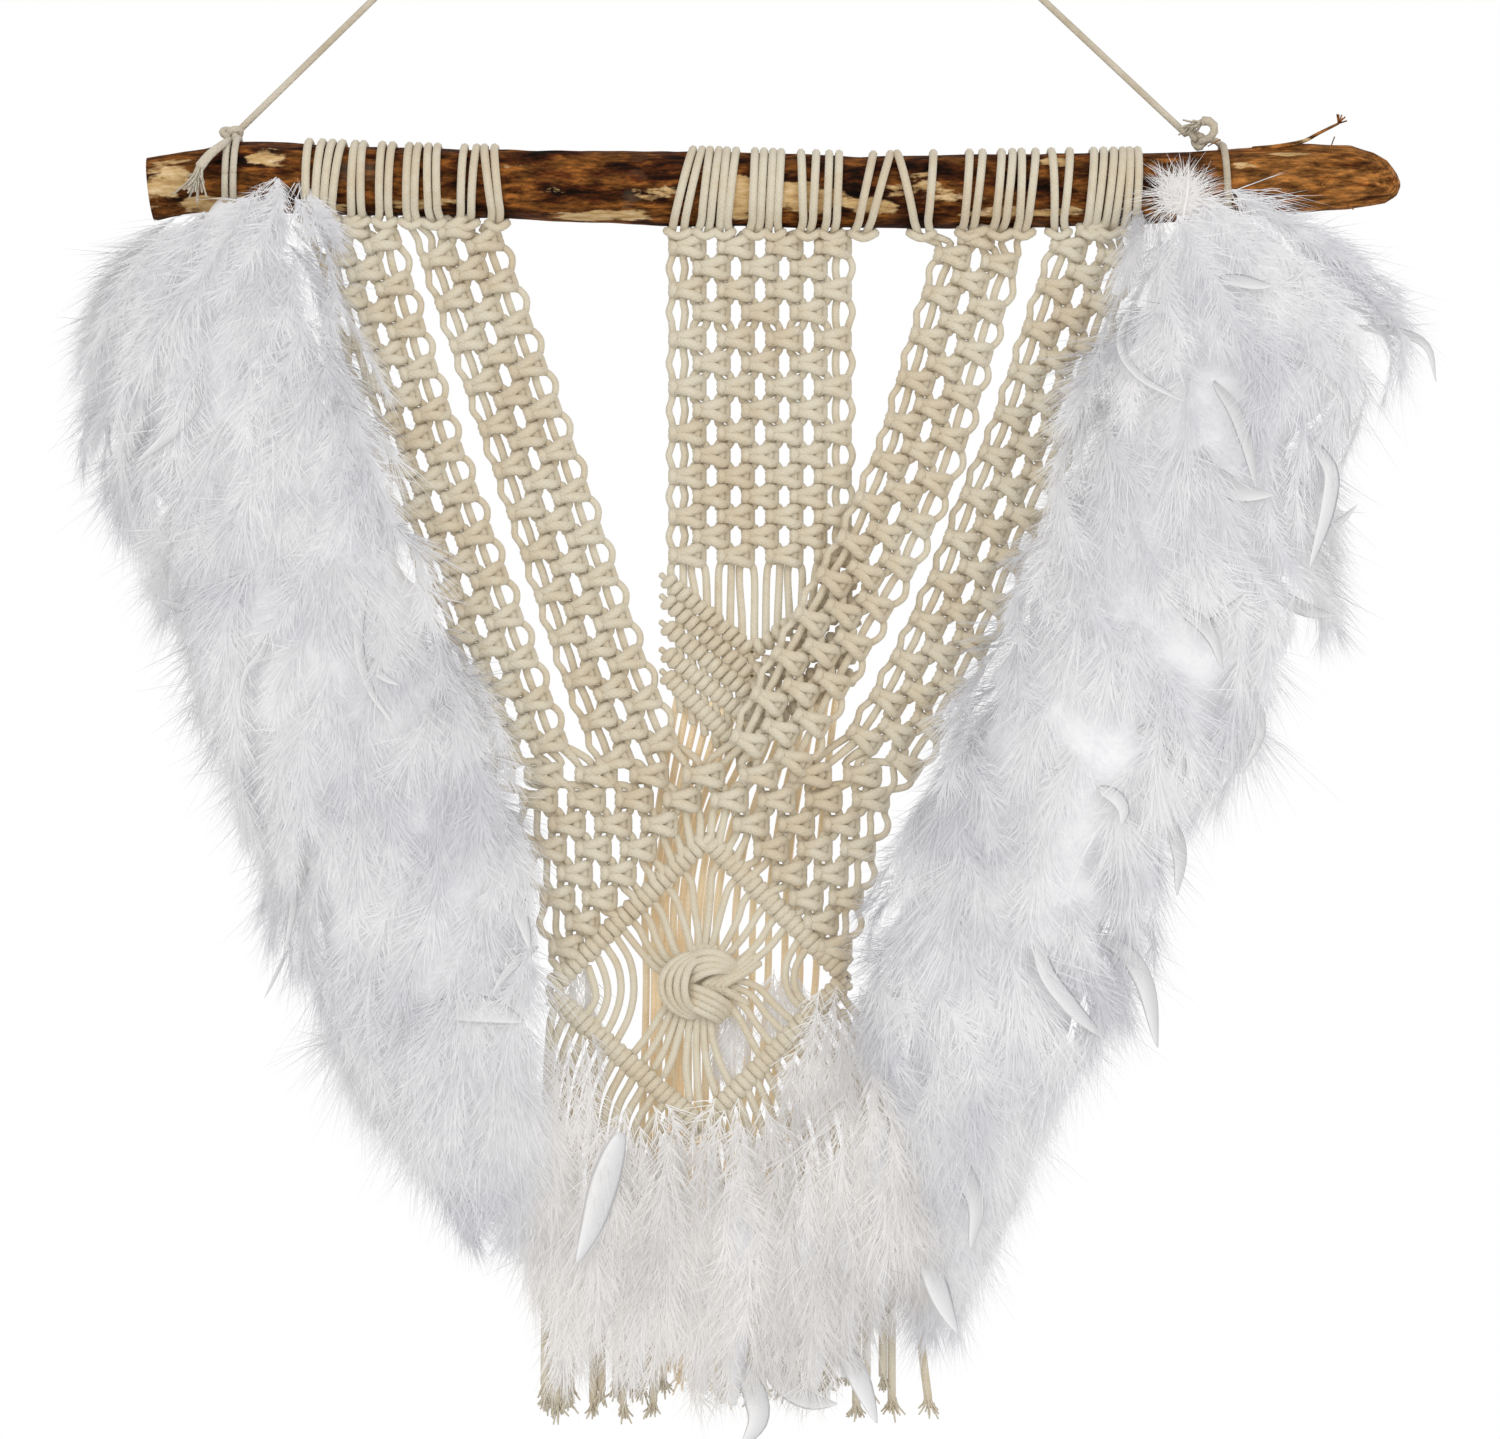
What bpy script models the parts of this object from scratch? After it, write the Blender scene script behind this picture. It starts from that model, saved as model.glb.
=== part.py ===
"""Macrame wall hanging on a driftwood branch, with feather trims.

The frame is metres with +Z up and the wall behind (+Y).  The origin is the nail on which the
hanger cord bears.  Sizes below are millimetres; a "drop" is a distance below that nail, and a
"y" is a distance behind the plane that holds the nail and the branch's axis.
"""
import math
import random
from collections import namedtuple

import bmesh
import bpy
import numpy as np
from mathutils import Vector

MM = 0.001

# ---------------------------------------------------------------- driving dimensions
CLEAR = 0.35            # gap between pieces that touch on the real thing
NET_Y = -4.0            # middle plane of the knotted work
STRAND_RADIUS = 1.9     # corner radius of a three-sided cord, 3.3 mm wide where it is drawn tight
HANGER_RADIUS = 1.7     # the thinner cord that carries the branch

KNOT_WIDTH = 18.5
KNOT_HEIGHT = 20.0
KNOT_DEPTH = 8.6
KNOT_PITCH = 4.4        # side spacing of the four strands in a knot
KNOT_INSET = 2.0        # strands draw together this far inside a knot's top and bottom
KnotStation = namedtuple("KnotStation", "along tall thick pinch")   # shares of the sizes above
KNOT_STATIONS = (
    KnotStation(-0.50, 0.60, 0.60, 0.85), KnotStation(-0.26, 1.00, 1.00, 1.05),
    KnotStation(-0.02, 0.90, 0.88, 0.55), KnotStation(0.50, 0.80, 0.65, 0.45),
)
FLAP_Y = NET_Y - KNOT_DEPTH / 2 - CLEAR     # back of the feathers that lie over knots

STRAP_KNOT_OFFSET = 11.2        # middle of a strap to the knots of a two-knot row
STRAP_BOW_OUTER = 21.0          # free outer strand, where it bows out beside a lone knot
STRAP_BOW_INNER = 14.6
STRAP_CORDS = 8
STRAP_END_PITCH = 5.4
STRAP_END = 530.0               # drop at which the straps run into the V-shaped net
STRAP_TIP = 2.5                 # straight end of each cord there, on both sides
STRAP_KNOT_ROWS = (0.14, 0.38, 0.62, 0.86)  # along a strap, two knots and one in turn

FLAT_ANGLE = 2.0        # degrees within which neighbouring faces are merged

HEAD_WIDTH = 7.4        # one lark's head, two cords side by side
HEAD_THICKNESS = 3.6
HEAD_CORD = 2.05        # from a head's middle to each of its two cords
HEAD_EXIT_Y = -1.0      # where the cords leave a head, at its underside
RING_POINTS = 10        # points round the branch and round each head

Corner = namedtuple("Corner", "x drop")
PANEL_KNOT_OFFSETS = (-34.5, -11.5, 11.5, 34.5)
PANEL_ROWS = (318.0, 378.0)     # drops of the row of four knots and the row of three
PANEL_HALF = 44.0
PANEL_X = 28.0
PANEL_BAR_TOP = 430.0           # drop of the uppermost hitched bar at the panel's sides
PANEL_BARS = 5
PANEL_BAR_PITCH = 10.0
PANEL_BAR_DEPTH = 4.1
PANEL_BAR_SWELL = 0.6           # how far the middle bars stand out beyond the first and last
PANEL_BAR_RISE = 34.0           # how far each hitched V falls to its middle
PANEL_BAR_STATIONS = 9
PANEL_STRANDS = 16
PANEL_BOW_OUTER = 41.0          # free outer cords beside the row of three knots
PANEL_BOW_INNER = 34.5
PANEL_BAR_ENTRY = 8.0           # cords run straight for this far above the bars
PANEL_BAR_HOLD = 4.5            # the tails leave the lowest bar from this far inside it
TAIL_Y = 6.2                    # the panel's tails hang behind the net
TAIL_COUNT = 10
TAIL_STEP_BACK = 13.0           # drop over which they pass behind it
TAIL_WAIST = Corner(16.0, 640.0)    # middle of the bundle of tails behind the large knot
TAIL_WAIST_SPREAD = 0.85
TAIL_FOOT = Corner(0.0, 806.0)
TAIL_FOOT_SPREAD = 0.95
TAIL_RAGGED = 3.0

DIAMOND_TOP = Corner(4.0, 554.0)
DIAMOND_LEFT = Corner(-68.0, 629.0)
DIAMOND_RIGHT = Corner(66.0, 621.0)
DIAMOND_BOTTOM = Corner(0.0, 696.0)
VEE_KNOT_AT = 0.42      # place of a knot between the straps and the diamond's upper bars
VEE_KNOT_ROOM = 40.0    # least drop that holds a knot
FRINGE_LEFT = Corner(-68.0, 639.0)          # ends of the lower bars, which carry the fringe
FRINGE_RIGHT = Corner(66.0, 631.0)
DIAMOND_BAR_RADIUS = 5.0
BAR_RIDGES = 8          # on each bar of the diamond
BAR_VALLEY = 0.82       # thickness between two ridges, as a share
BAR_STAY = 1.6          # cords end this far from a bar's middle, above or below it
BAR_SEAT = 8.2          # the inner cords end this far above the middle of a lower bar
LARGE_KNOT = Corner(-4.0, 627.0)
LARGE_KNOT_SIZE = 27.0
LARGE_KNOT_DEPTH = 13.0

Inner = namedtuple("Inner", "corner low_corner side bowed")     # cords inside, on each side
INNER_CORDS = (Inner(DIAMOND_LEFT, FRINGE_LEFT, -1, 3), Inner(DIAMOND_RIGHT, FRINGE_RIGHT, 1, 2))
INNER_KNOTTED = 3               # cords on each side that pass through the large knot
BOW_FIRST, BOW_STEP = 0.20, 0.11        # places of the bowed ones along a bar
KNOTTED_FIRST, KNOTTED_STEP = 0.56, 0.15
BOW_IN, BOW_IN_STEP = 19.0, 7.0         # how far they stay inside the diamond's side corner
BOW_ABOVE, BOW_BELOW = 12.0, 9.0        # straight part above and below the large knot's middle

FRINGE_STRANDS = 12             # on each side of the diamond's lower point
FRINGE_SWEEP = {-1: 5.0, 1: 30.0}       # how far the outermost cord swings out on each side
FRINGE_SHOULDER = 16.0          # the cords turn down over this drop below their roots
FRINGE_PLUMB = 58.0             # and hang straight from this far below them
FRINGE_RAGGED = (-14.0, 4.0)
FRINGE_FRAY = 1.25              # thickness of the frayed tips, as a share
FRINGE_END = 824.0

HANGER_KNOT_RADIUS = 5.6
NAIL_BEND = 4.0                 # the cord is bent over this far on each side of the nail
TUFT = 2.1                      # thickness of a frayed tail's tip, as a share
TiedEnd = namedtuple("TiedEnd", "name knot tail wrap link")     # places are (x, y, drop)
TIED_ENDS = (
    TiedEnd("hanger_knot_left", (-225.0, -1.5, 217.0),
            ((-233, -14, 224), (-238, -20.5, 236), (-243, -20.8, 249)), -224.5, None),
    TiedEnd("hanger_knot_right", (237.0, -1.5, 220.8),
            ((234, -8, 217), (239, -10, 212), (244, -9, 215)), 252.5, (251.5, 0.0, 225.2)),
)

# ---------------------------------------------------------------- tables of stations
Station = namedtuple("Station", "x top bottom")
BRANCH = (
    Station(-264, 233, 260), Station(-238, 226, 258), Station(-223, 224, 258),
    Station(-192, 226, 258), Station(-111, 228, 260), Station(-5, 228, 264),
    Station(76, 231, 264), Station(144, 230, 264), Station(192, 229, 264),
    Station(235, 228, 262), Station(288, 225, 258), Station(312, 226, 256),
    Station(328, 231, 253), Station(335, 240, 249),
)
TWIG = (Corner(286, 228), Corner(294, 222), Corner(306, 216))
TWIG_RADIUS = 1.6
TWIG_TAPER = 0.35       # share of its thickness lost from one point to the next

Head = namedtuple("Head", "top bottom")             # x at the branch's top and at its underside
Centre = namedtuple("Centre", "drop x y")           # middle line of a strap
Strap = namedtuple("Strap", "name heads line")
STRAPS = (
    Strap("strap_outer_left",
          (Head(-184, -186.5), Head(-174, -178.5), Head(-163.5, -164.5), Head(-150, -151.5)),
          (Centre(268, -169, NET_Y), Centre(327, -149, NET_Y), Centre(373, -135, NET_Y),
           Centre(STRAP_END, -79, NET_Y))),
    Strap("strap_inner_left",
          (Head(-137.5, -138.5), Head(-128, -128), Head(-110, -112), Head(-101, -97.5)),
          (Centre(268, -118, NET_Y), Centre(276, -115, NET_Y), Centre(377, -80, NET_Y),
           Centre(475, -47, NET_Y), Centre(STRAP_END, -26, NET_Y))),
    Strap("strap_inner_right",
          (Head(103, 105.5), Head(132, 128), Head(146.5, 143), Head(157, 154)),
          (Centre(268, 132, NET_Y), Centre(290, 131, -5), Centre(374, 104, -14),
           Centre(425, 82, -14), Centre(482, 50, -14), Centre(511, 37, -14),
           Centre(STRAP_END, 27, -14))),
    Strap("strap_outer_right",
          (Head(172.5, 171), Head(190.5, 187), Head(200, 196), Head(207.5, 205.5)),
          (Centre(268, 189, NET_Y), Centre(290, 184, NET_Y), Centre(365, 158, NET_Y),
           Centre(437, 129, NET_Y), Centre(497, 96, NET_Y), Centre(STRAP_END, 79, NET_Y))),
)
PANEL_HEADS = (
    Head(-1.7, -10.8), Head(6.5, 2.2), Head(14.6, 10.8), Head(28.1, 26.4),
    Head(36.5, 34.6), Head(51.6, 51.1), Head(63.8, 62.4), Head(86.6, 77.8),
)

# Feather trims: inner edge over the strap, the strap's own edge, outer edge, crown depth.
Fluff = namedtuple("Fluff", "drop inner edge outer crown")
TRIM_LEFT = (
    Fluff(262, -194, -198, -252, 24), Fluff(285, -179, -190, -276, 40),
    Fluff(320, -167, -178, -286, 52), Fluff(386, -146, -158, -282, 58),
    Fluff(444, -128, -136, -258, 58), Fluff(500, -104, -118, -234, 58),
    Fluff(530, -88, -104, -218, 56), Fluff(573, -77, -92, -198, 54),
    Fluff(612, -76, -84, -194, 50), Fluff(655, -77, -82, -170, 46),
    Fluff(690, -78, -82, -150, 40), Fluff(720, -79, -83, -126, 32), Fluff(741, -80, -84, -112, 18),
)
TRIM_RIGHT = (
    Fluff(268, 208, 214, 262, 24), Fluff(290, 200, 212, 322, 38),
    Fluff(330, 184, 198, 344, 52), Fluff(362, 171, 186, 306, 58),
    Fluff(415, 148, 166, 292, 60), Fluff(448, 136, 152, 298, 60),
    Fluff(511, 112, 118, 262, 58), Fluff(552, 91, 101, 226, 56),
    Fluff(600, 73, 84, 206, 54), Fluff(640, 74, 80, 200, 50),
    Fluff(676, 90, 94, 164, 44), Fluff(729, 97, 101, 146, 34), Fluff(782, 106, 110, 124, 16),
)
TRIM_STEPS = 30
TRIM_BACK = 14.0        # how far the fluff reaches back towards the wall
TRIM_DROOP = 7.0        # how far the tip of a lock hangs below its root
TRIM_LOCK = 20.0        # how far the pointed locks stand out from the rim

Plume = namedtuple("Plume", "x top bottom crown")
PLUMES = (
    Plume(-74, 706, 760, 22), Plume(-56, 700, 812, 34), Plume(-30, 702, 826, 38),
    Plume(-6, 708, 834, 40), Plume(20, 700, 842, 42), Plume(46, 686, 832, 44),
    Plume(68, 672, 834, 42), Plume(88, 690, 812, 26),
)
PLUME_STEPS = 24
PLUME_LOCK = 36.0
PLUME_Y = NET_Y - STRAND_RADIUS - CLEAR


# ---------------------------------------------------------------- helpers
def point(x, y, drop):
    """World point of a place given in millimetres."""
    return Vector((x, y, -drop)) * MM


def blend(a, b, t):
    """Value at a share t of the way from a to b."""
    return a + (b - a) * t


def read_table(rows, key, value):
    """Row of a table at a value of its key column, each column read on straight lines."""
    keys = [getattr(row, key) for row in rows]
    if value <= keys[0]:
        return rows[0]
    for low, high in zip(rows, rows[1:]):
        k0, k1 = getattr(low, key), getattr(high, key)
        if value <= k1:
            t = (value - k0) / (k1 - k0)
            return type(low)(*(blend(p, q, t) for p, q in zip(low, high)))
    return rows[-1]


def collection(name):
    made = bpy.data.collections.new(name)
    bpy.context.scene.collection.children.link(made)
    return made


def finish(name, color, roughness, metallic=0.0):
    """A Principled material."""
    material = bpy.data.materials.new(name)
    material.use_nodes = True
    shader = material.node_tree.nodes["Principled BSDF"]
    shader.inputs["Base Color"].default_value = (*color, 1.0)
    shader.inputs["Roughness"].default_value = roughness
    shader.inputs["Metallic"].default_value = metallic
    return material


def add_object(name, mesh, home, material=None):
    made = bpy.data.objects.new(name, mesh)
    home.objects.link(made)
    if material:
        mesh.materials.clear()
        mesh.materials.append(material)
    return made


def loft(shape, rings):
    """Add a closed skin through rings of equal point counts, capped at both ends."""
    loops = [[shape.verts.new(p) for p in ring] for ring in rings]
    for a, b in zip(loops, loops[1:]):
        for i in range(len(a)):
            j = (i + 1) % len(a)
            shape.faces.new((a[i], a[j], b[j], b[i]))
    shape.faces.new(loops[0][::-1])
    shape.faces.new(loops[-1])


def to_mesh(shape, name):
    """Turn a built bmesh into a mesh of triangles that face outwards."""
    bmesh.ops.triangulate(shape, faces=shape.faces)
    bmesh.ops.recalc_face_normals(shape, faces=shape.faces)
    mesh = bpy.data.meshes.new(name)
    shape.to_mesh(mesh)
    shape.free()
    return mesh


def three_sided(radius):
    """A small closed triangle, the section of a cord in the knotted work."""
    curve = bpy.data.curves.new("cord_section", "CURVE")
    spline = curve.splines.new("POLY")
    spline.points.add(2)
    spline.use_cyclic_u = True
    for i, target in enumerate(spline.points):
        angle = 2 * math.pi * i / 3
        target.co = (radius * MM * math.cos(angle), radius * MM * math.sin(angle), 0.0, 1.0)
    return bpy.data.objects.new("cord_section", curve)


def tubes(name, paths, radius, resolution=None):
    """Mesh of cords, three-sided unless a bevel resolution asks for rounder ones.

    Each path is a list of (point, thickness factor).
    """
    curve = bpy.data.curves.new(name + "_path", "CURVE")
    curve.dimensions = "3D"
    section = None
    if resolution is None:
        section = three_sided(radius)
        curve.bevel_mode = "OBJECT"
        curve.bevel_object = section
    else:
        curve.bevel_depth = radius * MM
        curve.bevel_resolution = resolution
    curve.use_fill_caps = True
    for path in paths:
        spline = curve.splines.new("POLY")
        spline.points.add(len(path) - 1)
        for target, (place, factor) in zip(spline.points, path):
            target.co = (*place, 1.0)
            target.radius = factor
    guide = bpy.data.objects.new(name + "_guide", curve)
    bpy.context.scene.collection.objects.link(guide)
    bpy.context.view_layer.update()
    drawn = bpy.data.meshes.new_from_object(guide.evaluated_get(
        bpy.context.evaluated_depsgraph_get()))
    bpy.data.objects.remove(guide)
    if section:
        bpy.data.objects.remove(section)
    shape = bmesh.new()
    shape.from_mesh(drawn)
    bmesh.ops.remove_doubles(shape, verts=shape.verts, dist=0.00001)
    return to_mesh(shape, name)


def merge_flats(base):
    """Dissolve the slivers that the unions leave on flat faces."""
    thin = base.modifiers.new("merged_flats", "DECIMATE")
    thin.decimate_type = "DISSOLVE"
    thin.angle_limit = math.radians(FLAT_ANGLE)


def fuse(base, joined):
    """Unite an object with its hidden partner by a Boolean."""
    joined.hide_render = True
    joined.hide_set(True)
    joined.display_type = "WIRE"
    union = base.modifiers.new("fused", "BOOLEAN")
    union.operation = "UNION"
    union.solver = "EXACT"
    union.object = joined


# ---------------------------------------------------------------- branch
def branch_ring(x, gap=0.0):
    """Points round the branch at x, moved out by a gap."""
    row = read_table(BRANCH, "x", x)
    middle = (row.top + row.bottom) / 2
    radius = (row.bottom - row.top) / 2 + gap
    ring = []
    for i in range(RING_POINTS):
        angle = 2 * math.pi * i / RING_POINTS
        ring.append((x, radius * math.sin(angle), middle - radius * math.cos(angle)))
    return ring


def make_branch(home, hidden, bark):
    """The driftwood branch with the stub of a twig near its right end."""
    shape = bmesh.new()
    loft(shape, [[point(*p) for p in branch_ring(row.x)] for row in BRANCH])
    base = add_object("branch", to_mesh(shape, "branch"), home, bark)
    stem = [(point(c.x, 0, c.drop), 1.0 - TWIG_TAPER * i) for i, c in enumerate(TWIG)]
    twig = tubes("twig", [stem], TWIG_RADIUS, 1)
    fuse(base, add_object("branch_twig", twig, hidden))


# ---------------------------------------------------------------- lark's heads and knots
def add_head(shape, head):
    """A band of two cords round the branch, as a closed loop of four-cornered sections."""
    inner = branch_ring(head.bottom, CLEAR)
    outer = branch_ring(head.bottom, CLEAR + HEAD_THICKNESS)
    sections = []
    for near, far in zip(inner, outer):
        height = (1 + math.cos(2 * math.pi * len(sections) / RING_POINTS)) / 2
        x = blend(head.bottom, head.top, height)
        corners = []
        for side, (_, y, drop) in ((-1, near), (1, near), (1, far), (-1, far)):
            corners.append(shape.verts.new(point(x + side * HEAD_WIDTH / 2, y, drop)))
        sections.append(corners)
    for a, b in zip(sections, sections[1:] + sections[:1]):
        for i in range(4):
            j = (i + 1) % 4
            shape.faces.new((a[i], a[j], b[j], b[i]))


def add_knot(shape, x, y, drop, width=KNOT_WIDTH, height=KNOT_HEIGHT, depth=KNOT_DEPTH):
    """A square knot: a raised bump on the left, then two ridges that run to the right."""
    rings = []
    for row in KNOT_STATIONS:
        h = height / 2 * row.tall
        t = depth / 2 * row.thick
        section = ((0, h), (-t, h / 2), (-t * row.pinch, 0), (-t, -h / 2), (0, -h), (t, 0))
        rings.append([point(x + row.along * width, y + dy, drop - dz) for dy, dz in section])
    loft(shape, rings)


def hitch_bar(corners, y, ridges):
    """Path of a ridged bar through its corners: thick and thin places in turn."""
    path = []
    for a, b in zip(corners, corners[1:]):
        steps = 2 * ridges
        for i in range(steps + (b is corners[-1])):
            t = i / steps
            factor = 1.0 if i % 2 else BAR_VALLEY
            path.append((point(blend(a.x, b.x, t), y, blend(a.drop, b.drop, t)), factor))
    return path


def head_starts(heads):
    """Where the two cords of each head leave it, inside its underside."""
    starts = []
    for head in heads:
        row = read_table(BRANCH, "x", head.bottom)
        drop = row.bottom + CLEAR + HEAD_THICKNESS / 2
        starts.extend((head.bottom + side * HEAD_CORD, drop) for side in (-1, 1))
    return starts


def strand_path(stops):
    """Path of one cord from (x, y, drop) stops."""
    return [(point(*stop), 1.0) for stop in stops]


# ---------------------------------------------------------------- straps
def strap_offset(strand, two_knots):
    """Side position of one of the eight cords beside or in the knots of a row."""
    if two_knots:
        group = -1 if strand < 4 else 1
        return group * STRAP_KNOT_OFFSET + (strand % 4 - 1.5) * KNOT_PITCH
    if 2 <= strand <= 5:
        return (strand - 3.5) * KNOT_PITCH
    reach = STRAP_BOW_OUTER if strand in (0, 7) else STRAP_BOW_INNER
    return math.copysign(reach, strand - 3.5)


def make_strap(strap, home, hidden, cotton):
    """One strap: eight cords through rows of two knots and of one, from four lark's heads."""
    start, end = strap.line[0].drop, STRAP_END - CLEAR / 2
    row_drops = [blend(start, end, f) for f in STRAP_KNOT_ROWS]
    half = KNOT_HEIGHT / 2 - KNOT_INSET
    paths = []
    for strand, (x0, drop0) in enumerate(head_starts(strap.heads)):
        stops = [(x0, HEAD_EXIT_Y, drop0)]
        for row, drop in enumerate(row_drops):
            for edge in (drop - half, drop + half):
                line = read_table(strap.line, "drop", edge)
                stops.append((line.x + strap_offset(strand, row % 2 == 0), line.y, edge))
        line = read_table(strap.line, "drop", end)
        for last in (end - STRAP_TIP, end):
            stops.append((line.x + (strand - 3.5) * STRAP_END_PITCH, line.y, last))
        paths.append(strand_path(stops))
    base = add_object(strap.name, tubes(strap.name, paths, STRAND_RADIUS), home, cotton)
    shape = bmesh.new()
    for head in strap.heads:
        add_head(shape, head)
    for row, drop in enumerate(row_drops):
        line = read_table(strap.line, "drop", drop)
        offsets = (-STRAP_KNOT_OFFSET, STRAP_KNOT_OFFSET) if row % 2 == 0 else (0.0,)
        for offset in offsets:
            add_knot(shape, line.x + offset, line.y, drop)
    fuse(base, add_object(strap.name + "_knots", to_mesh(shape, strap.name), hidden))


# ---------------------------------------------------------------- centre panel
def panel_offset(strand, four_knots):
    """Side position of one of the sixteen cords beside or in the knots of a row."""
    if four_knots:
        return PANEL_KNOT_OFFSETS[strand // 4] + (strand % 4 - 1.5) * KNOT_PITCH
    if strand < 2 or strand > 13:
        reach = PANEL_BOW_OUTER if strand in (0, 15) else PANEL_BOW_INNER
        return math.copysign(reach, strand - 7.5)
    group = (strand - 2) // 4
    middle = (PANEL_KNOT_OFFSETS[group] + PANEL_KNOT_OFFSETS[group + 1]) / 2
    return middle + ((strand - 2) % 4 - 1.5) * KNOT_PITCH


def make_panel(home, hidden, cotton):
    """Sixteen cords, a row of four knots and one of three, the hitched bars and the tails."""
    half = KNOT_HEIGHT / 2 - KNOT_INSET
    pitch = 2 * PANEL_BOW_OUTER / PANEL_STRANDS
    first_tail = (PANEL_STRANDS - TAIL_COUNT) // 2
    paths = []
    for strand, (x0, drop0) in enumerate(head_starts(PANEL_HEADS)):
        stops = [(x0, HEAD_EXIT_Y, drop0)]
        for row, drop in enumerate(PANEL_ROWS):
            for edge in (drop - half, drop + half):
                stops.append((PANEL_X + panel_offset(strand, row == 0), NET_Y, edge))
        offset = (strand - (PANEL_STRANDS - 1) / 2) * pitch
        fall = PANEL_BAR_RISE * (1 - abs(offset) / PANEL_HALF)
        low = PANEL_BAR_TOP + fall + PANEL_BARS * PANEL_BAR_PITCH
        tailed = first_tail <= strand < first_tail + TAIL_COUNT
        stops.append((PANEL_X + offset, NET_Y, PANEL_BAR_TOP + fall - PANEL_BAR_ENTRY))
        if tailed:
            end = TAIL_FOOT.drop - TAIL_RAGGED * (strand % 4)
            stops.append((PANEL_X + offset, NET_Y, low - PANEL_BAR_HOLD))
            stops.append((PANEL_X + offset, TAIL_Y, low + TAIL_STEP_BACK))
            stops.append((TAIL_WAIST.x + offset * TAIL_WAIST_SPREAD, TAIL_Y, TAIL_WAIST.drop))
            stops.append((TAIL_FOOT.x + offset * TAIL_FOOT_SPREAD, TAIL_Y, end))
        else:
            stops.append((PANEL_X + offset, NET_Y, low - PANEL_BARS * PANEL_BAR_PITCH / 2))
        paths.append(strand_path(stops))
    base = add_object("centre_panel", tubes("centre_panel", paths, STRAND_RADIUS), home, cotton)

    shape = bmesh.new()
    for head in PANEL_HEADS:
        add_head(shape, head)
    for offset in PANEL_KNOT_OFFSETS:
        add_knot(shape, PANEL_X + offset, NET_Y, PANEL_ROWS[0])
    for a, b in zip(PANEL_KNOT_OFFSETS, PANEL_KNOT_OFFSETS[1:]):
        add_knot(shape, PANEL_X + (a + b) / 2, NET_Y, PANEL_ROWS[1])
    rings = []
    for x in np.linspace(-PANEL_HALF, PANEL_HALF, PANEL_BAR_STATIONS):
        fall = PANEL_BAR_RISE * (1 - abs(x) / PANEL_HALF)
        rings.append([point(PANEL_X + x, NET_Y + dy, PANEL_BAR_TOP + fall + dz)
                      for dy, dz in bar_section()])
    loft(shape, rings)
    fuse(base, add_object("centre_panel_knots", to_mesh(shape, "panel_knots"), hidden))


def bar_section():
    """Outline of the hitched bars, one below the other: a ridge for each, and a plain back."""
    low = PANEL_BARS * PANEL_BAR_PITCH
    front = [(0.0, 0.0)]
    for half_bar in range(1, 2 * PANEL_BARS):
        dz = half_bar * PANEL_BAR_PITCH / 2
        share = 1.0 if half_bar % 2 else 0.3
        swell = PANEL_BAR_SWELL * math.sin(math.pi * dz / low)
        front.append((-PANEL_BAR_DEPTH * share - swell, dz))
    back, bevel = PANEL_BAR_DEPTH * 0.8, PANEL_BAR_PITCH / 2
    return front + [(0.0, low), (back, low - bevel), (back, bevel)]


# ---------------------------------------------------------------- V-shaped net and diamond
def on_line(a, b, t):
    """Corner at a share t of the way from a to b."""
    return Corner(blend(a.x, b.x, t), blend(a.drop, b.drop, t))


def net_cords():
    """(x, y) at the straps and foot on the diamond's upper bars for each of the 32 cords."""
    cords = []
    per_side = 2 * STRAP_CORDS
    for number, strap in enumerate(STRAPS):
        line = strap.line[-1]
        bar = (DIAMOND_LEFT, DIAMOND_TOP) if number < 2 else (DIAMOND_TOP, DIAMOND_RIGHT)
        for strand in range(STRAP_CORDS):
            order = (number % 2) * STRAP_CORDS + strand
            foot = on_line(*bar, (order + 0.9) / (per_side + 0.8))
            foot = Corner(foot.x, foot.drop - BAR_STAY)
            cords.append((line.x + (strand - 3.5) * STRAP_END_PITCH, line.y, foot))
    return cords


def make_vee_net(home, hidden, cotton):
    """The net below the straps, the diamond's upper bars and what is tied inside it."""
    start = STRAP_END + CLEAR / 2
    half = KNOT_HEIGHT / 2 - KNOT_INSET
    cords = net_cords()
    knots = []
    paths = [None] * len(cords)
    for group in range(2, len(cords) - 2, 4):
        middle = cords[group:group + 4]
        foot = (middle[1][2].drop + middle[2][2].drop) / 2
        if foot - start < VEE_KNOT_ROOM:
            continue
        centre_x = sum(blend(x, foot_at.x, VEE_KNOT_AT) for x, _, foot_at in middle) / 4
        centre_y = blend(middle[1][1], NET_Y, VEE_KNOT_AT)
        drop = blend(start, foot, VEE_KNOT_AT)
        knots.append((centre_x, centre_y, drop))
        for i in range(4):
            x, y, foot_at = middle[i]
            inside = centre_x + (i - 1.5) * KNOT_PITCH
            paths[group + i] = strand_path((
                (x, y, start), (x, y, start + STRAP_TIP), (inside, centre_y, drop - half),
                (inside, centre_y, drop + half), (foot_at.x, NET_Y, foot_at.drop)))
    for i, (x, y, foot_at) in enumerate(cords):
        if paths[i] is None:
            paths[i] = strand_path((
                (x, y, start), (x, y, start + STRAP_TIP), (foot_at.x, NET_Y, foot_at.drop)))
    base = add_object("vee_net", tubes("vee_net", paths + inner_cords(), STRAND_RADIUS),
                      home, cotton)
    shape = bmesh.new()
    for knot in knots:
        add_knot(shape, *knot)
    add_knot(shape, LARGE_KNOT.x, NET_Y, LARGE_KNOT.drop,
             LARGE_KNOT_SIZE, LARGE_KNOT_SIZE, LARGE_KNOT_DEPTH)
    bar = hitch_bar((DIAMOND_LEFT, DIAMOND_TOP, DIAMOND_RIGHT), NET_Y, BAR_RIDGES)
    shape.from_mesh(tubes("vee_bar", [bar], DIAMOND_BAR_RADIUS, 1))
    fuse(base, add_object("vee_net_knots", to_mesh(shape, "vee_knots"), hidden))


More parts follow.
